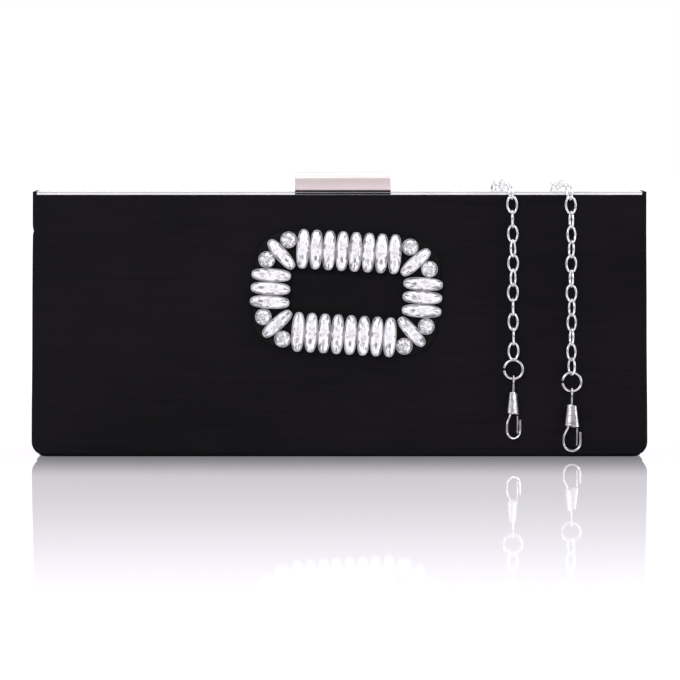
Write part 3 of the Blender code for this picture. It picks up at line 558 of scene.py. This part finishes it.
def shapeSatin(node, grid):
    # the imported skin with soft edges, a slight swell, and the small unevenness of hand-laid cloth
    shape = looseCopy(node, grid)
    roundEdges(shape, satin["edge"], 3, 50)
    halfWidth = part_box(node)[1][0] / mm
    foot, top, fadeIn = satin["swellFoot"], satin["swellTop"], satin["fadeIn"]
    for vert in shape.verts:
        x, y, z = vert.co / mm
        inward = min(halfWidth - abs(x), satin["fadeSide"]) / satin["fadeSide"]
        wobble = noise.noise(Vector((x * 0.022, y * 0.05, z * 0.03)))
        outer = y < -8 if node == "front_satin" else y > 8
        if outer and z > foot and z < top:
            swell = satin["swell"] * inward * min((top - z) / fadeIn, 1) * min((z - foot) / fadeIn, 1)
            vert.co.y += math.copysign((swell * (1 + 0.5 * wobble)) * mm, y)
        near = max(0, abs(x) - (halfWidth - satin["liftRun"])) / satin["liftRun"]
        if z < satin["liftTop"]:
            vert.co.z += satin["lift"] * near**2 * (1 - z / satin["liftTop"]) * mm
        if abs(x) > halfWidth - 1.5:  # the side folds
            notch = math.exp(-((z - satin["notchHeight"]) / satin["notchSpread"]) ** 2) * satin["notchDepth"]
            vert.co.x -= math.copysign((notch * (x < 0) + satin["sideWear"] * (1 + wobble)) * mm, x)
    return shape


def addSatin():
    across = ((1, 0, 0), steps(-126, 126, 14))
    upright = ((0, 0, 1), [*steps(12, 104, 9.2), 93.5, 95, 96.5, 98])
    lower = ((0, 0, 1), [1.2, 2.5, 5, 8])
    for node, body in (("front_satin", "front_half"), ("rear_satin", "rear_half")):
        shape = shapeSatin(node, (across, upright, lower))
        piece = addPiece(node.replace("satin", "cloth"), shape, satinCloth, 60)
        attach(piece, body)
        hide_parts(node)
    shape = looseCopy("base_satin", (across,))
    roundEdges(shape, 0.25, 2)
    piece = addPiece("base_cloth", shape, satinCloth, 60)
    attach(piece, "rear_half")
    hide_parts("base_satin")


addSatin()
print("satin skins laid")


# ---- rails and clasp

metalwork = {
    "railEdge": 0.22, "metallic": 0.5, "bright": (0.95, 0.94, 0.94), "dull": (0.80, 0.79, 0.80),
    "roughness": 0.12,
    "spread": 0.08, "hazeScale": 90, "markScale": 900, "markDepth": 0.15,
}
clasp = {
    "edge": 0.12, "metallic": 0.35, "face": (0.81, 0.705, 0.69), "faceDark": (0.69, 0.595, 0.59),
    "faceRoughness": 0.33,
    "strokeScale": (14, 300, 6500), "strokeDepth": 0.008,
    # the sloping edge: a real polished edge, partly painted highlight, as it is kept non-metallic and near
    # white so that it reads lit from above
    "metallicChamfer": 0.0, "bright": (1.0, 0.95, 0.90), "dull": (0.96, 0.91, 0.86),
    "roughness": 0.14, "spread": 0.05,
    # painted shade under the bar: the near-black colour of the strips, their paler streak colour, and the
    # strips' size and place
    "step": (0.010, 0.008, 0.008), "shadeStripLit": (0.05, 0.04, 0.04), "shadeStripEdge": 0.1, "shadeStripDepth": 0.01,
    "shadeStripHigh": (111.38, 112.12), "shadeStripLow": (110.38, 111.08), "shadeStripFront": -9.42, "shadeStripBack": -9.06,
    "hazeScale": 200, "markScale": 1600, "markDepth": 0.1,
}


def brushedFinish():
    # long fine strokes along the bar
    finish = Finish("brushed_clasp", metallic=clasp["metallic"], anisotropic=0.4)
    strokes = finish.grain(finish.place(scale=clasp["strokeScale"]), 1.0, 3, 0.7)
    cloud = finish.grain(finish.place(), 60, 2)
    wear = (strokes * 0.8 + cloud * 0.4).span(0.3, 0.9)
    finish.vary("colour", finish.mix(wear, clasp["face"], clasp["faceDark"]))
    finish.vary("roughness", clasp["faceRoughness"] + strokes * 0.12)
    finish.bump(strokes, 0.35, clasp["strokeDepth"] * mm)
    return finish.material


def paintedShadeStripFinish():
    # painted shade: two near-black strips under the bar, where the bar's shade falls, with faint paler
    # streaks along them
    finish = Finish("painted_shade_strips", metallic=0.9, coat=0.3, coatRoughness=0.05)
    shadeStreaks = finish.grain(finish.place(scale=(25, 900, 4200)), 1.0, 3, 0.6)
    finish.vary("colour", finish.mix(shadeStreaks.span(0.35, 0.8), clasp["step"], clasp["shadeStripLit"]))
    finish.vary("roughness", 0.16 + shadeStreaks * 0.15)
    finish.bump(shadeStreaks, 0.3, clasp["shadeStripDepth"] * mm)
    return finish.material


railSilver = silverFinish("rail_silver", metalwork)


def addRails():
    for side in ("front", "rear"):
        shape = looseCopy(side + "_rail")
        roundEdges(shape, metalwork["railEdge"], 3, 60)
        piece = addPiece(side + "_rail_polished", shape, railSilver)
        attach(piece, side + "_half")
        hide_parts(side + "_rail")


def addClasp():
    brushed = brushedFinish()
    # polished sloping edge with painted highlight: near white and not metallic
    polished = silverFinish("clasp_chamfer", {**clasp, "metallic": clasp["metallicChamfer"]})
    for side in ("front", "rear"):
        shape = looseCopy(side + "_clasp_bar")
        roundEdges(shape, clasp["edge"], 2, 25)
        shape.normal_update()
        for part in shape.faces:
            if side == "front" and part.normal.z > 0.2 and part.normal.y < -0.1:  # the sloping edge
                part.material_index = 1
        piece = addPiece(side + "_clasp_brushed", shape, brushed, 30)
        piece.data.materials.append(polished)
        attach(piece, side + "_half")
        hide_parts(side + "_clasp_bar")
    # painted shade: two thin near-black strips in front of the frame under the bar, with a thin gap between
    # them
    shape = bmesh.new()
    low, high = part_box("front_clasp_bar")
    for foot, top in (clasp["shadeStripHigh"], clasp["shadeStripLow"]):
        depth = (clasp["shadeStripFront"] + clasp["shadeStripBack"]) / 2
        place = Matrix.Translation(((low[0] + high[0]) / 2, depth * mm, (foot + top) / 2 * mm))
        size = ((high[0] - low[0]) / mm, clasp["shadeStripBack"] - clasp["shadeStripFront"], top - foot)
        bmesh.ops.create_cube(shape, size=mm, matrix=place @ Matrix.Diagonal((*size, 1)))
    roundEdges(shape, clasp["shadeStripEdge"], 2)
    piece = addPiece("clasp_painted_shade", shape, paintedShadeStripFinish(), 30)
    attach(piece, "front_half")


addRails()
addClasp()
print("rails and clasp polished")


# ---- crystal buckle on the front face

face = {"top": 110, "halfDepth": 9.0, "lean": 7.00675}
buckle = {
    "x": 2.9, "z": 68.7, "tilt": -3.4, "seat": 1.8, "height": 3.4, "girdle": 1.3, "footEdge": 0.25,
    "breakHeight": 2.55, "prongHeight": 3.35, "plateEdge": 0.25,
    "ovalSize": (16.4, 5.16), "cornerSize": (15.3, 5.1), "roundSize": (6.6, 6.6),
    "rowCount": 8, "rowPitch": 5.54, "rowHeight": 17.6,
    "columnCount": 3, "columnPitch": 5.7, "columnOut": 32.1,
    "corner": (28.4, 14.7), "inner": (25.7, 21.0), "outer": (34.4, 12.1),
    "settingWall": 0.19, "settingFoot": 1.5, "settingTop": 3.7, "prong": 0.45, "seed": 23,
    # stone colours for painted reflections and highlights; glow sets how strongly the stones give off
    # painted light
    "clear": (0.97, 0.955, 0.98), "lavender": (0.58, 0.565, 0.62), "shadow": (0.18, 0.177, 0.19),
    "glow": 0.17, "ringsAcross": 4.2, "wedgesRound": 22, "plate": (0.003, 0.0027, 0.003),
    "plateWorn": (0.010, 0.009, 0.010), "turnPlay": 0.035, "plateDepth": 0.04,
    "endRound": 0.86, "sideRound": 0.70,
    "metallic": 0.35, "bright": (0.80, 0.79, 0.81), "dull": (0.50, 0.49, 0.52),
    "roughness": 0.22, "spread": 0.10, "hazeScale": 500, "markScale": 2500, "markDepth": 0.2,
}


def faceFrame(x, z, proud=0.0):
    # on the front face: first axis to the right, second up the face, third straight out
    lean = math.radians(face["lean"])
    up = Vector((0, math.sin(lean), math.cos(lean)))
    out = Vector((0, -math.cos(lean), math.sin(lean)))
    place = Matrix((Vector((1, 0, 0)), up, out)).transposed().to_4x4()
    y = -(face["halfDepth"] + (face["top"] - z) * math.tan(lean))
    place.translation = (Vector((x, y, z)) + out * proud) * mm
    return place


def inMetres(place):
    return place @ Matrix.Scale(mm, 4)


def crystalFinish():
    # painted reflections and highlights on an opaque stone, standing in for foil behind a clear stone:
    # mirrored back facets in rings, a dark drop-shaped reflection in the lower third, bright table
    finish = Finish(
        "clear_crystal", metallic=0.12, coat=1.0, coatRoughness=0.015, ior=1.62, specular=0.8,
        glowStrength=buckle["glow"],
    )
    where = finish.node("ShaderNodeUVMap", {"uv_map": "cut"}).outputs[0]
    u, v, unused = finish.axes(where)
    u, v = u * 2 - 1, v * 2 - 1
    seed = Value(finish, finish.node("ShaderNodeAttribute", {"attribute_name": "stone"}).outputs["Fac"])
    facet = Value(finish, finish.node("ShaderNodeAttribute", {"attribute_name": "facet"}).outputs["Fac"])
    radius = (u * u + v * v).maths("SQRT")
    angle = v.maths("ARCTAN2", u)
    ring = (radius * buckle["ringsAcross"] + seed * 0.4).maths("FLOOR")
    wedge = (angle * (buckle["wedgesRound"] / (2 * math.pi)) + ring * 0.5 + seed * 3).maths("FLOOR")
    cell = finish.node("ShaderNodeCombineXYZ", None, wedge, ring, seed * 31)
    flash = Value(finish, finish.node("ShaderNodeTexWhiteNoise", None, cell.outputs[0]).outputs["Value"])
    glow = (flash * 0.5 + facet * 0.5).span(0.10, 0.55)
    dropU, dropV = u * (1 / 0.30) / (0.42 - v * 1.1), (v + 0.46) * (1 / 0.17)
    dropReflection = (1 - (dropU * dropU + dropV * dropV).maths("SQRT")).span(0.0, 0.35)
    rimShade = radius.span(0.86, 1.02)
    # painted highlight: bright facets and table
    colour = finish.mix(glow, buckle["lavender"], buckle["clear"])
    # painted reflection: some back facets darkened
    colour = finish.mix(flash.below(0.24) * radius.span(0.45, 0.80) * 0.8, colour, buckle["shadow"])
    # painted reflection: the dark drop in the lower third of the oval stones
    dropReflectionShare = dropReflection * seed.span(-0.01, 0.0) * seed.span(0.0, 0.7, 0.4, 0.85)
    colour = finish.mix(dropReflectionShare, colour, buckle["shadow"])
    # painted reflection: dark specks
    speckleReflection = seed.below(0) * flash.above(0.62) * 0.7  # on the round stones only
    colour = finish.mix(speckleReflection, colour, buckle["shadow"])
    # painted shade: the stones darkened towards their rim
    colour = finish.mix(rimShade * 0.5, colour, buckle["shadow"])
    finish.vary("colour", colour)
    # painted light: the stones glow with their own colour, though no lamp is in them
    finish.vary("glow", colour)
    finish.vary("roughness", 0.04 + flash * 0.10)
    return finish.material


def blackenedFinish():
    # dark plate that vanishes between the stones
    finish = Finish("blackened_plate", metallic=0.1, specular=0.12)
    worn = finish.grain(finish.place(), 700, 4, 0.6)
    finish.vary("colour", finish.mix(worn.span(0.35, 0.8), buckle["plate"], buckle["plateWorn"]))
    finish.vary("roughness", 0.45 + worn * 0.2)
    finish.bump(worn, 0.3, buckle["plateDepth"] * mm)
    return finish.material


def addStone(shape, size, place, number, draw):
    # girdle, a ring of break facets turned half a step, then the crown up to the table
    isOval = size[0] > size[1]
    sides = 16 if isOval else 12
    layers = [  # share of the full outline, height, whether turned
        (0.94, 0.0, 0), (1.0, buckle["footEdge"], 0), (1.0, buckle["girdle"], 0),
        (0.80, buckle["breakHeight"], 1), (0.50, buckle["height"], 0),
    ]
    cut, stone, facet = (
        shape.loops.layers.uv["cut"], shape.faces.layers.float["stone"], shape.faces.layers.float["facet"]
    )
    before = len(shape.verts)
    ring = bmesh.ops.create_circle(shape, segments=sides, radius=1)["verts"]
    edges = list({edge for vert in ring for edge in vert.link_edges})
    lowest = edges
    current = ring
    flat = []
    for index, (share, height, turned) in enumerate(layers):
        if index:
            raised = bmesh.ops.extrude_edge_only(shape, edges=edges)["geom"]
            current = [part for part in raised if isinstance(part, bmesh.types.BMVert)]
            edges = [
                part for part in raised
                if isinstance(part, bmesh.types.BMEdge) and all(end in current for end in part.verts)
            ]
        flat.append((current, share, height, turned))
    bmesh.ops.holes_fill(shape, edges=lowest + edges, sides=0)
    for verts, share, height, turned in flat:
        for vert in verts:
            angle = math.atan2(vert.co.y, vert.co.x) + turned * math.pi / sides
            x, y = math.cos(angle), math.sin(angle)
            if isOval:  # fuller ends than an ellipse
                x = math.copysign(abs(x) ** buckle["endRound"], x)
                y = math.copysign(abs(y) ** buckle["sideRound"], y)
            vert.co = (x * share * size[0] / 2, y * share * size[1] / 2, height)
    shape.verts.ensure_lookup_table()
    own = shape.verts[before:]
    faces = list({part for vert in own for part in vert.link_faces})
    faces = bmesh.ops.triangulate(shape, faces=faces)["faces"]
    bmesh.ops.recalc_face_normals(shape, faces=faces)
    for part in faces:
        part[stone] = (number * 0.618) % 1 - (not isOval)  # negative on a round stone
        part[facet] = draw.random()
        for loop in part.loops:
            loop[cut].uv = (loop.vert.co.x / size[0] + 0.5, loop.vert.co.y / size[1] + 0.5)
            if isOval:  # keep the second direction of the pattern along the stone
                loop[cut].uv = (loop.vert.co.y / size[1] + 0.5, loop.vert.co.x / size[0] + 0.5)
    bmesh.ops.transform(shape, matrix=place, verts=own)


def addSetting(shape, size, place):
    # thin collar round a stone's girdle, with four small claws over its crown
    long = size[0] > size[1]
    sides = 20
    before = len(shape.verts)
    rings = [(0.0, buckle["settingFoot"]), (0.0, buckle["settingTop"]), (-1.0, buckle["settingTop"]),
             (-1.0, buckle["settingFoot"])]
    made = bmesh.ops.create_circle(shape, segments=sides, radius=1)["verts"]
    edges = list({edge for vert in made for edge in vert.link_edges})
    first = edges
    loops = [made]
    for unused in rings[1:]:
        raised = bmesh.ops.extrude_edge_only(shape, edges=edges)["geom"]
        current = [part for part in raised if isinstance(part, bmesh.types.BMVert)]
        edges = [
            part for part in raised
            if isinstance(part, bmesh.types.BMEdge) and all(end in current for end in part.verts)
        ]
        loops.append(current)
    bmesh.ops.bridge_loops(shape, edges=first + edges)
    for verts, (inset, height) in zip(loops, rings):
        wall = buckle["settingWall"] * (1 + inset)
        for vert in verts:
            angle = math.atan2(vert.co.y, vert.co.x)
            x, y = math.cos(angle), math.sin(angle)
            if long:
                x = math.copysign(abs(x) ** buckle["endRound"], x)
                y = math.copysign(abs(y) ** buckle["sideRound"], y)
            vert.co = (x * (size[0] / 2 + wall), y * (size[1] / 2 + wall), height)
    shape.verts.ensure_lookup_table()
    own = shape.verts[before:]
    bmesh.ops.recalc_face_normals(shape, faces=list({part for vert in own for part in vert.link_faces}))
    bmesh.ops.transform(shape, matrix=place, verts=own)
    angles = (0.22, math.pi - 0.22, math.pi + 0.22, -0.22) if long else (0.8, 2.35, 3.95, 5.5)
    for angle in angles:
        x, y = math.cos(angle) * (size[0] / 2 - 0.25), math.sin(angle) * (size[1] / 2 - 0.1)
        spot = (x, y, buckle["prongHeight"])
        claw = bmesh.ops.create_icosphere(shape, subdivisions=1, radius=buckle["prong"])["verts"]
        flattened = place @ Matrix.Translation(spot) @ Matrix.Diagonal((1, 1, 0.8, 1))
        bmesh.ops.transform(shape, matrix=flattened, verts=claw)


def stonePlaces():
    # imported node, stone size and frame of every stone, about the buckle's middle
    turnUp = Matrix.Rotation(math.pi / 2, 4, "Z")
    for name, count, pitch, middle, turn in (
        ("top", buckle["rowCount"], buckle["rowPitch"], (0, buckle["rowHeight"]), turnUp),
        ("bottom", buckle["rowCount"], buckle["rowPitch"], (0, -buckle["rowHeight"]), turnUp),
        ("left", buckle["columnCount"], buckle["columnPitch"], (-buckle["columnOut"], 0), Matrix()),
        ("right", buckle["columnCount"], buckle["columnPitch"], (buckle["columnOut"], 0), Matrix()),
    ):
        for i in range(count):
            along = (i - (count - 1) / 2) * pitch
            place = Matrix.Translation((*middle, 0)) @ turn @ Matrix.Translation((0, along, 0))
            yield f"crystals_{name}_row", buckle["ovalSize"], place
    for high, v in (("top", 1), ("bottom", -1)):
        for wide, u in (("left", -1), ("right", 1)):
            turn = Matrix.Rotation(math.atan2(v, u), 4, "Z")
            out, up = buckle["corner"]
            place = Matrix.Translation((u * out, v * up, 0))
            yield f"crystal_corner_{high}_{wide}", buckle["cornerSize"], place @ turn
            for step in ("inner", "outer"):
                out, up = buckle[step]
                place = Matrix.Translation((u * out, v * up, 0))
                yield f"crystal_round_{high}_{wide}_{step}", buckle["roundSize"], place


def addBuckle():
    draw = random.Random(buckle["seed"])
    tilt = Matrix.Rotation(math.radians(buckle["tilt"]), 4, "Z")
    centre = inMetres(faceFrame(buckle["x"], buckle["z"])) @ tilt
    crystal = crystalFinish()
    silver = silverFinish("buckle_silver", buckle)
    stones = {}
    settings = bmesh.new()
    for number, (node, size, place) in enumerate(stonePlaces()):
        if node not in stones:
            stones[node] = bmesh.new()
            stones[node].loops.layers.uv.new("cut")
            stones[node].faces.layers.float.new("stone")
            stones[node].faces.layers.float.new("facet")
        jitter = Matrix.Rotation(draw.uniform(-buckle["turnPlay"], buckle["turnPlay"]), 4, "Z")
        spot = centre @ place @ Matrix.Translation((0, 0, buckle["seat"])) @ jitter
        addStone(stones[node], size, spot, number, draw)
        addSetting(settings, size, centre @ place)
    for node, shape in stones.items():
        piece = addPiece(node + "_cut", shape, crystal, 0)
        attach(piece, "front_half")
        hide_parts(node)
    piece = addPiece("stone_settings", settings, silver)
    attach(piece, "front_half")
    shape = looseCopy("ornament_plate")
    roundEdges(shape, buckle["plateEdge"], 2, 60)
    piece = addPiece("buckle_plate", shape, blackenedFinish())
    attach(piece, "front_half")
    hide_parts("ornament_plate")


addBuckle()
print("crystal buckle set")


# ---- split rings, sprung hooks and their wraps

hooks = {
    "ringRadius": 3.95, "ringWire": 0.55, "ringSplit": 15, "standOff": 2.8, "wire": 0.5,
    "eyeRadius": 1.7, "eyeArc": 310, "eyeCentre": -0.35,
    "wrapTop": -5.5, "wrapFoot": -15.2, "wrapRadii": (2.15, 3.35), "wrapWire": 0.42, "wrapTurns": 11,
    "wrapFlatness": 0.55, "bowRadius": 3.5, "bowCentre": -21.6, "tip": -17.2,
    "gateX": 2.1, "gateTop": -15.6, "gateFoot": -22.9, "gateWire": 0.35,
    "left": (73.3, 32.75, 35), "right": (97.9, 27.55, 0),
    "bright": (0.84, 0.83, 0.83), "dull": (0.46, 0.44, 0.46), "roughness": 0.14, "spread": 0.12,
    "hazeScale": 420, "markScale": 2400, "markDepth": 0.3,
}


def arc(centre, radius, start, turn, count):
    angles = [start + turn * i / count for i in range(count + 1)]
    return [(centre[0] + radius * math.cos(a), centre[1] + radius * math.sin(a)) for a in angles]


def addWire(name, body, points, radius, sides, finish, *nodes):
    shape = bmesh.new()
    sweepWire(shape, points, radius * mm, sides)
    piece = addPiece(name, shape, finish, 60)
    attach(piece, body)
    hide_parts(*nodes)
    return piece


def addHook(side, silver):
    x, z, twist = hooks[side]
    straight = inMetres(faceFrame(x, z, hooks["standOff"]))
    twisted = straight @ Matrix.Rotation(math.radians(twist), 4, "Y")
    radius, split = hooks["ringRadius"], math.radians(hooks["ringSplit"])
    ring = arc((0, radius), radius, math.pi + split / 2, 2 * math.pi - split, 40)
    ring = addWire(
        "split_ring_" + side, "front_half", [straight @ Vector((u, v, 0)) for u, v in ring],
        hooks["ringWire"], 10, silver, "jump_ring_" + side,
    )

    bow = [(hooks["bowRadius"], hooks["tip"])]
    bow += arc((0, hooks["bowCentre"]), hooks["bowRadius"], 0, -math.pi, 18)
    bow += [(-hooks["bowRadius"], hooks["bowCentre"] + 1.5), (-3.35, -18.6), (-2.7, -17.2), (-1.8, -15.6),
            (-1.0, -12.0), (-0.4, -8.0), (0, -4.6)]
    path = [twisted @ Vector((u, v, 0)) for u, v in bow]
    eye = arc((0, hooks["eyeCentre"]), hooks["eyeRadius"], -math.pi / 2, math.radians(hooks["eyeArc"]), 24)
    path += [straight @ Vector((0, v, w)) for w, v in eye]
    wire = addWire("hook_bow_" + side, "hook_" + side, path, hooks["wire"], 10, silver, "hook_wire_" + side)

    winding = []
    turns, perTurn = hooks["wrapTurns"], 18
    top, foot = hooks["wrapTop"] - hooks["wrapWire"], hooks["wrapFoot"] + hooks["wrapWire"]
    for i in range(turns * perTurn + 1):
        share = i / (turns * perTurn)
        outer = hooks["wrapRadii"][0] + (hooks["wrapRadii"][1] - hooks["wrapRadii"][0]) * share
        angle = 2 * math.pi * i / perTurn + math.pi / 2
        u = (outer - hooks["wrapWire"]) * math.cos(angle)
        w = (outer * hooks["wrapFlatness"] - hooks["wrapWire"]) * math.sin(angle)
        winding.append(twisted @ Vector((u, top + (foot - top) * share, w)))
    wrap = addWire(
        "hook_winding_" + side, "hook_" + side, winding, hooks["wrapWire"], 6, silver, "hook_wrap_" + side
    )

    across, top, foot = hooks["gateX"], hooks["gateTop"], hooks["gateFoot"]
    gate = [(across, top), (across + 0.05, top - 2), (across, (top + foot) / 2), (across - 0.1, foot)]
    gate = addWire(
        "hook_spring_" + side, "gate_" + side, [twisted @ Vector((u, v, 0)) for u, v in gate],
        hooks["gateWire"], 8, silver, "hook_gate_" + side,
    )
    return [ring, wire, wrap, gate]


def addHooks():
    silver = silverFinish("hook_silver", hooks)
    return addHook("left", silver) + addHook("right", silver)


chainEnds = addHooks()
print("hooks wound and hung")


# ---- lining, boards, gussets, pocket and hinge

inside = {
    "lining": (0.010, 0.009, 0.011), "liningLit": (0.022, 0.020, 0.024),
    "ribPitch": 0.55, "ribDepth": 0.05, "fibreDepth": 0.08,
    "board": (0.022, 0.020, 0.020), "boardFleck": (0.010, 0.009, 0.009),
    "gussetWall": 0.8, "pleat": 24, "foldSoftness": 0.12, "gussetFoot": 1.3, "gussetTop": 94.7,
    "blendInset": 0.15, "blendRise": 1.25,  # these set the blend square to the front edge
    "cutTop": 54, "cutMean": 44.5,  # guessed widths of the flat gusset: at its top, and its mean
    "panelWall": 5.0, "innerX": 128.1, "edgeRoom": 0.6,
    "bright": (0.62, 0.62, 0.64), "dull": (0.40, 0.40, 0.42), "roughness": 0.26, "spread": 0.15,
    "hazeScale": 150, "markScale": 1200, "markDepth": 0.3,
}


def liningFinish():
    # ribbed lining cloth, ribs upright
    finish = Finish(
        "ribbed_lining", sheen=0.25, sheenRoughness=0.5, sheenTint=(0.5, 0.48, 0.52, 1), specular=0.3,
    )
    where = finish.place()
    x, y, z = finish.axes(where)
    wander = finish.grain(where, 90, 2)
    ribs = ((x + y * 0.8) * (2 * math.pi / (inside["ribPitch"] * mm)) + wander * 2.5).maths("SINE")
    fibre = finish.grain(finish.place(scale=(2200, 2200, 500)), 1.0, 3)
    cloud = finish.grain(where, 25, 3)
    tone = (cloud * 0.6 + fibre * 0.5).span(0.3, 0.8)
    finish.vary("colour", finish.mix(tone, inside["lining"], inside["liningLit"]))
    finish.vary("roughness", 0.66 + fibre * 0.16)
    finish.bump(ribs * 0.8 + fibre * 0.5, 0.5, inside["ribDepth"] * mm)
    return finish.material


def boardFinish():
    # pressed board, dyed black, with darker fibres
    finish = Finish("pressed_board", specular=0.25)
    where = finish.place()
    fibre = finish.grain(finish.place(scale=(900, 900, 300)), 1.0, 5, 0.7)
    fleck = finish.grain(where, 420, 2)
    tone = (fibre * 0.5 + fleck * 0.6).span(0.45, 0.75)
    finish.vary("colour", finish.mix(tone, inside["board"], inside["boardFleck"]))
    finish.vary("roughness", 0.80 + fibre * 0.12)
    finish.bump(fibre, 0.5, inside["fibreDepth"] * mm)
    return finish.material


def repaint(finish, *nodes):
    for node in nodes:
        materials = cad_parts[node].data.materials
        materials.clear()
        materials.append(finish)


def addLinings():
    ribbed = liningFinish()
    for node, body in (
        ("front_lining", "front_half"), ("rear_lining", "rear_half"), ("base_lining", "rear_half"),
        ("slip_pocket", "rear_half"),
    ):
        shape = looseCopy(node)
        roundEdges(shape, 0.2, 2, 50)
        piece = addPiece(node + "_cloth", shape, ribbed, 50)
        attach(piece, body)
        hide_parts(node)
    repaint(boardFinish(), "front_board", "rear_board", "base_board")


def gussetEdge(z):
    # how far forward or back a gusset's edge is at this height
    lean = math.radians(face["lean"])
    outside = face["halfDepth"] + (face["top"] - z) * math.tan(lean)
    return outside - (inside["panelWall"] + inside["edgeRoom"]) / math.cos(lean)


def addGussets():
    for label, end in (("left", -1), ("right", 1)):
        shape = bmesh.new()
        columns, levels = 20, 18
        edgeX = end * (inside["innerX"] - inside["gussetWall"] / 2)
        row = [shape.verts.new((0, 2 * i / columns - 1, 0)) for i in range(columns + 1)]
        edges = [shape.edges.new(pair) for pair in zip(row, row[1:])]
        rows = [row]
        for unused in range(levels):
            raised = bmesh.ops.extrude_edge_only(shape, edges=edges)["geom"]
            row = [part for part in raised if isinstance(part, bmesh.types.BMVert)]
            edges = [
                part for part in raised
                if isinstance(part, bmesh.types.BMEdge) and all(vert in row for vert in part.verts)
            ]
            rows.append(row)
        soft = inside["foldSoftness"]
        for level, row in enumerate(rows):
            share = level / levels
            z = inside["gussetFoot"] + (inside["gussetTop"] - inside["gussetFoot"]) * share
            for vert in row:
                aside = vert.co.y
                fold = 1 - (math.sqrt(aside**2 + soft**2) - soft) / (math.sqrt(1 + soft**2) - soft)
                ripple = 0.25 * share * math.sin(3.1 * aside * math.pi) * (1 - aside**2)
                vert.co = (
                    edgeX - end * (inside["pleat"] * share * fold * 0.985 + ripple),
                    gussetEdge(z) * aside, z,
                )
        bmesh.ops.recalc_face_normals(shape, faces=shape.faces)
        bmesh.ops.scale(shape, vec=(mm, mm, mm), verts=shape.verts)
        piece = addPiece("pleated_gusset_" + label, shape, satinCloth, 0)
        piece.data.shade_smooth()
        wall = piece.modifiers.new("wall", "SOLIDIFY")
        wall.thickness = inside["gussetWall"] * mm
        wall.offset = 0
        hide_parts("gusset_" + label)
        top = gussetEdge(inside["gussetTop"])
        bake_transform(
            piece, "rear_half", "front_half", start=(0, top * mm, inside["gussetTop"] * mm),
            end=(0, (inside["blendInset"] - top) * mm, (inside["gussetTop"] + inside["blendRise"]) * mm),
        )


def addHardware():
    plated = silverFinish("plated_steel", inside)
    repaint(
        plated, "hinge_leaf_front", "hinge_leaf_base", "hinge_pin", "front_clasp_base", "rear_clasp_base",
        "front_clasp_rivet_left", "front_clasp_rivet_right",
        "rear_clasp_rivet_left", "rear_clasp_rivet_right",
        "chain_loop_left", "chain_loop_right",
    )


addLinings()
addGussets()
addHardware()
print("inside lined and hinge fitted")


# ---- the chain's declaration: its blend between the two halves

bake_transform(shoulderChain, "rear_half", "front_half", start=(0, 0.009, 0.114), end=(0, -0.009, 0.114))
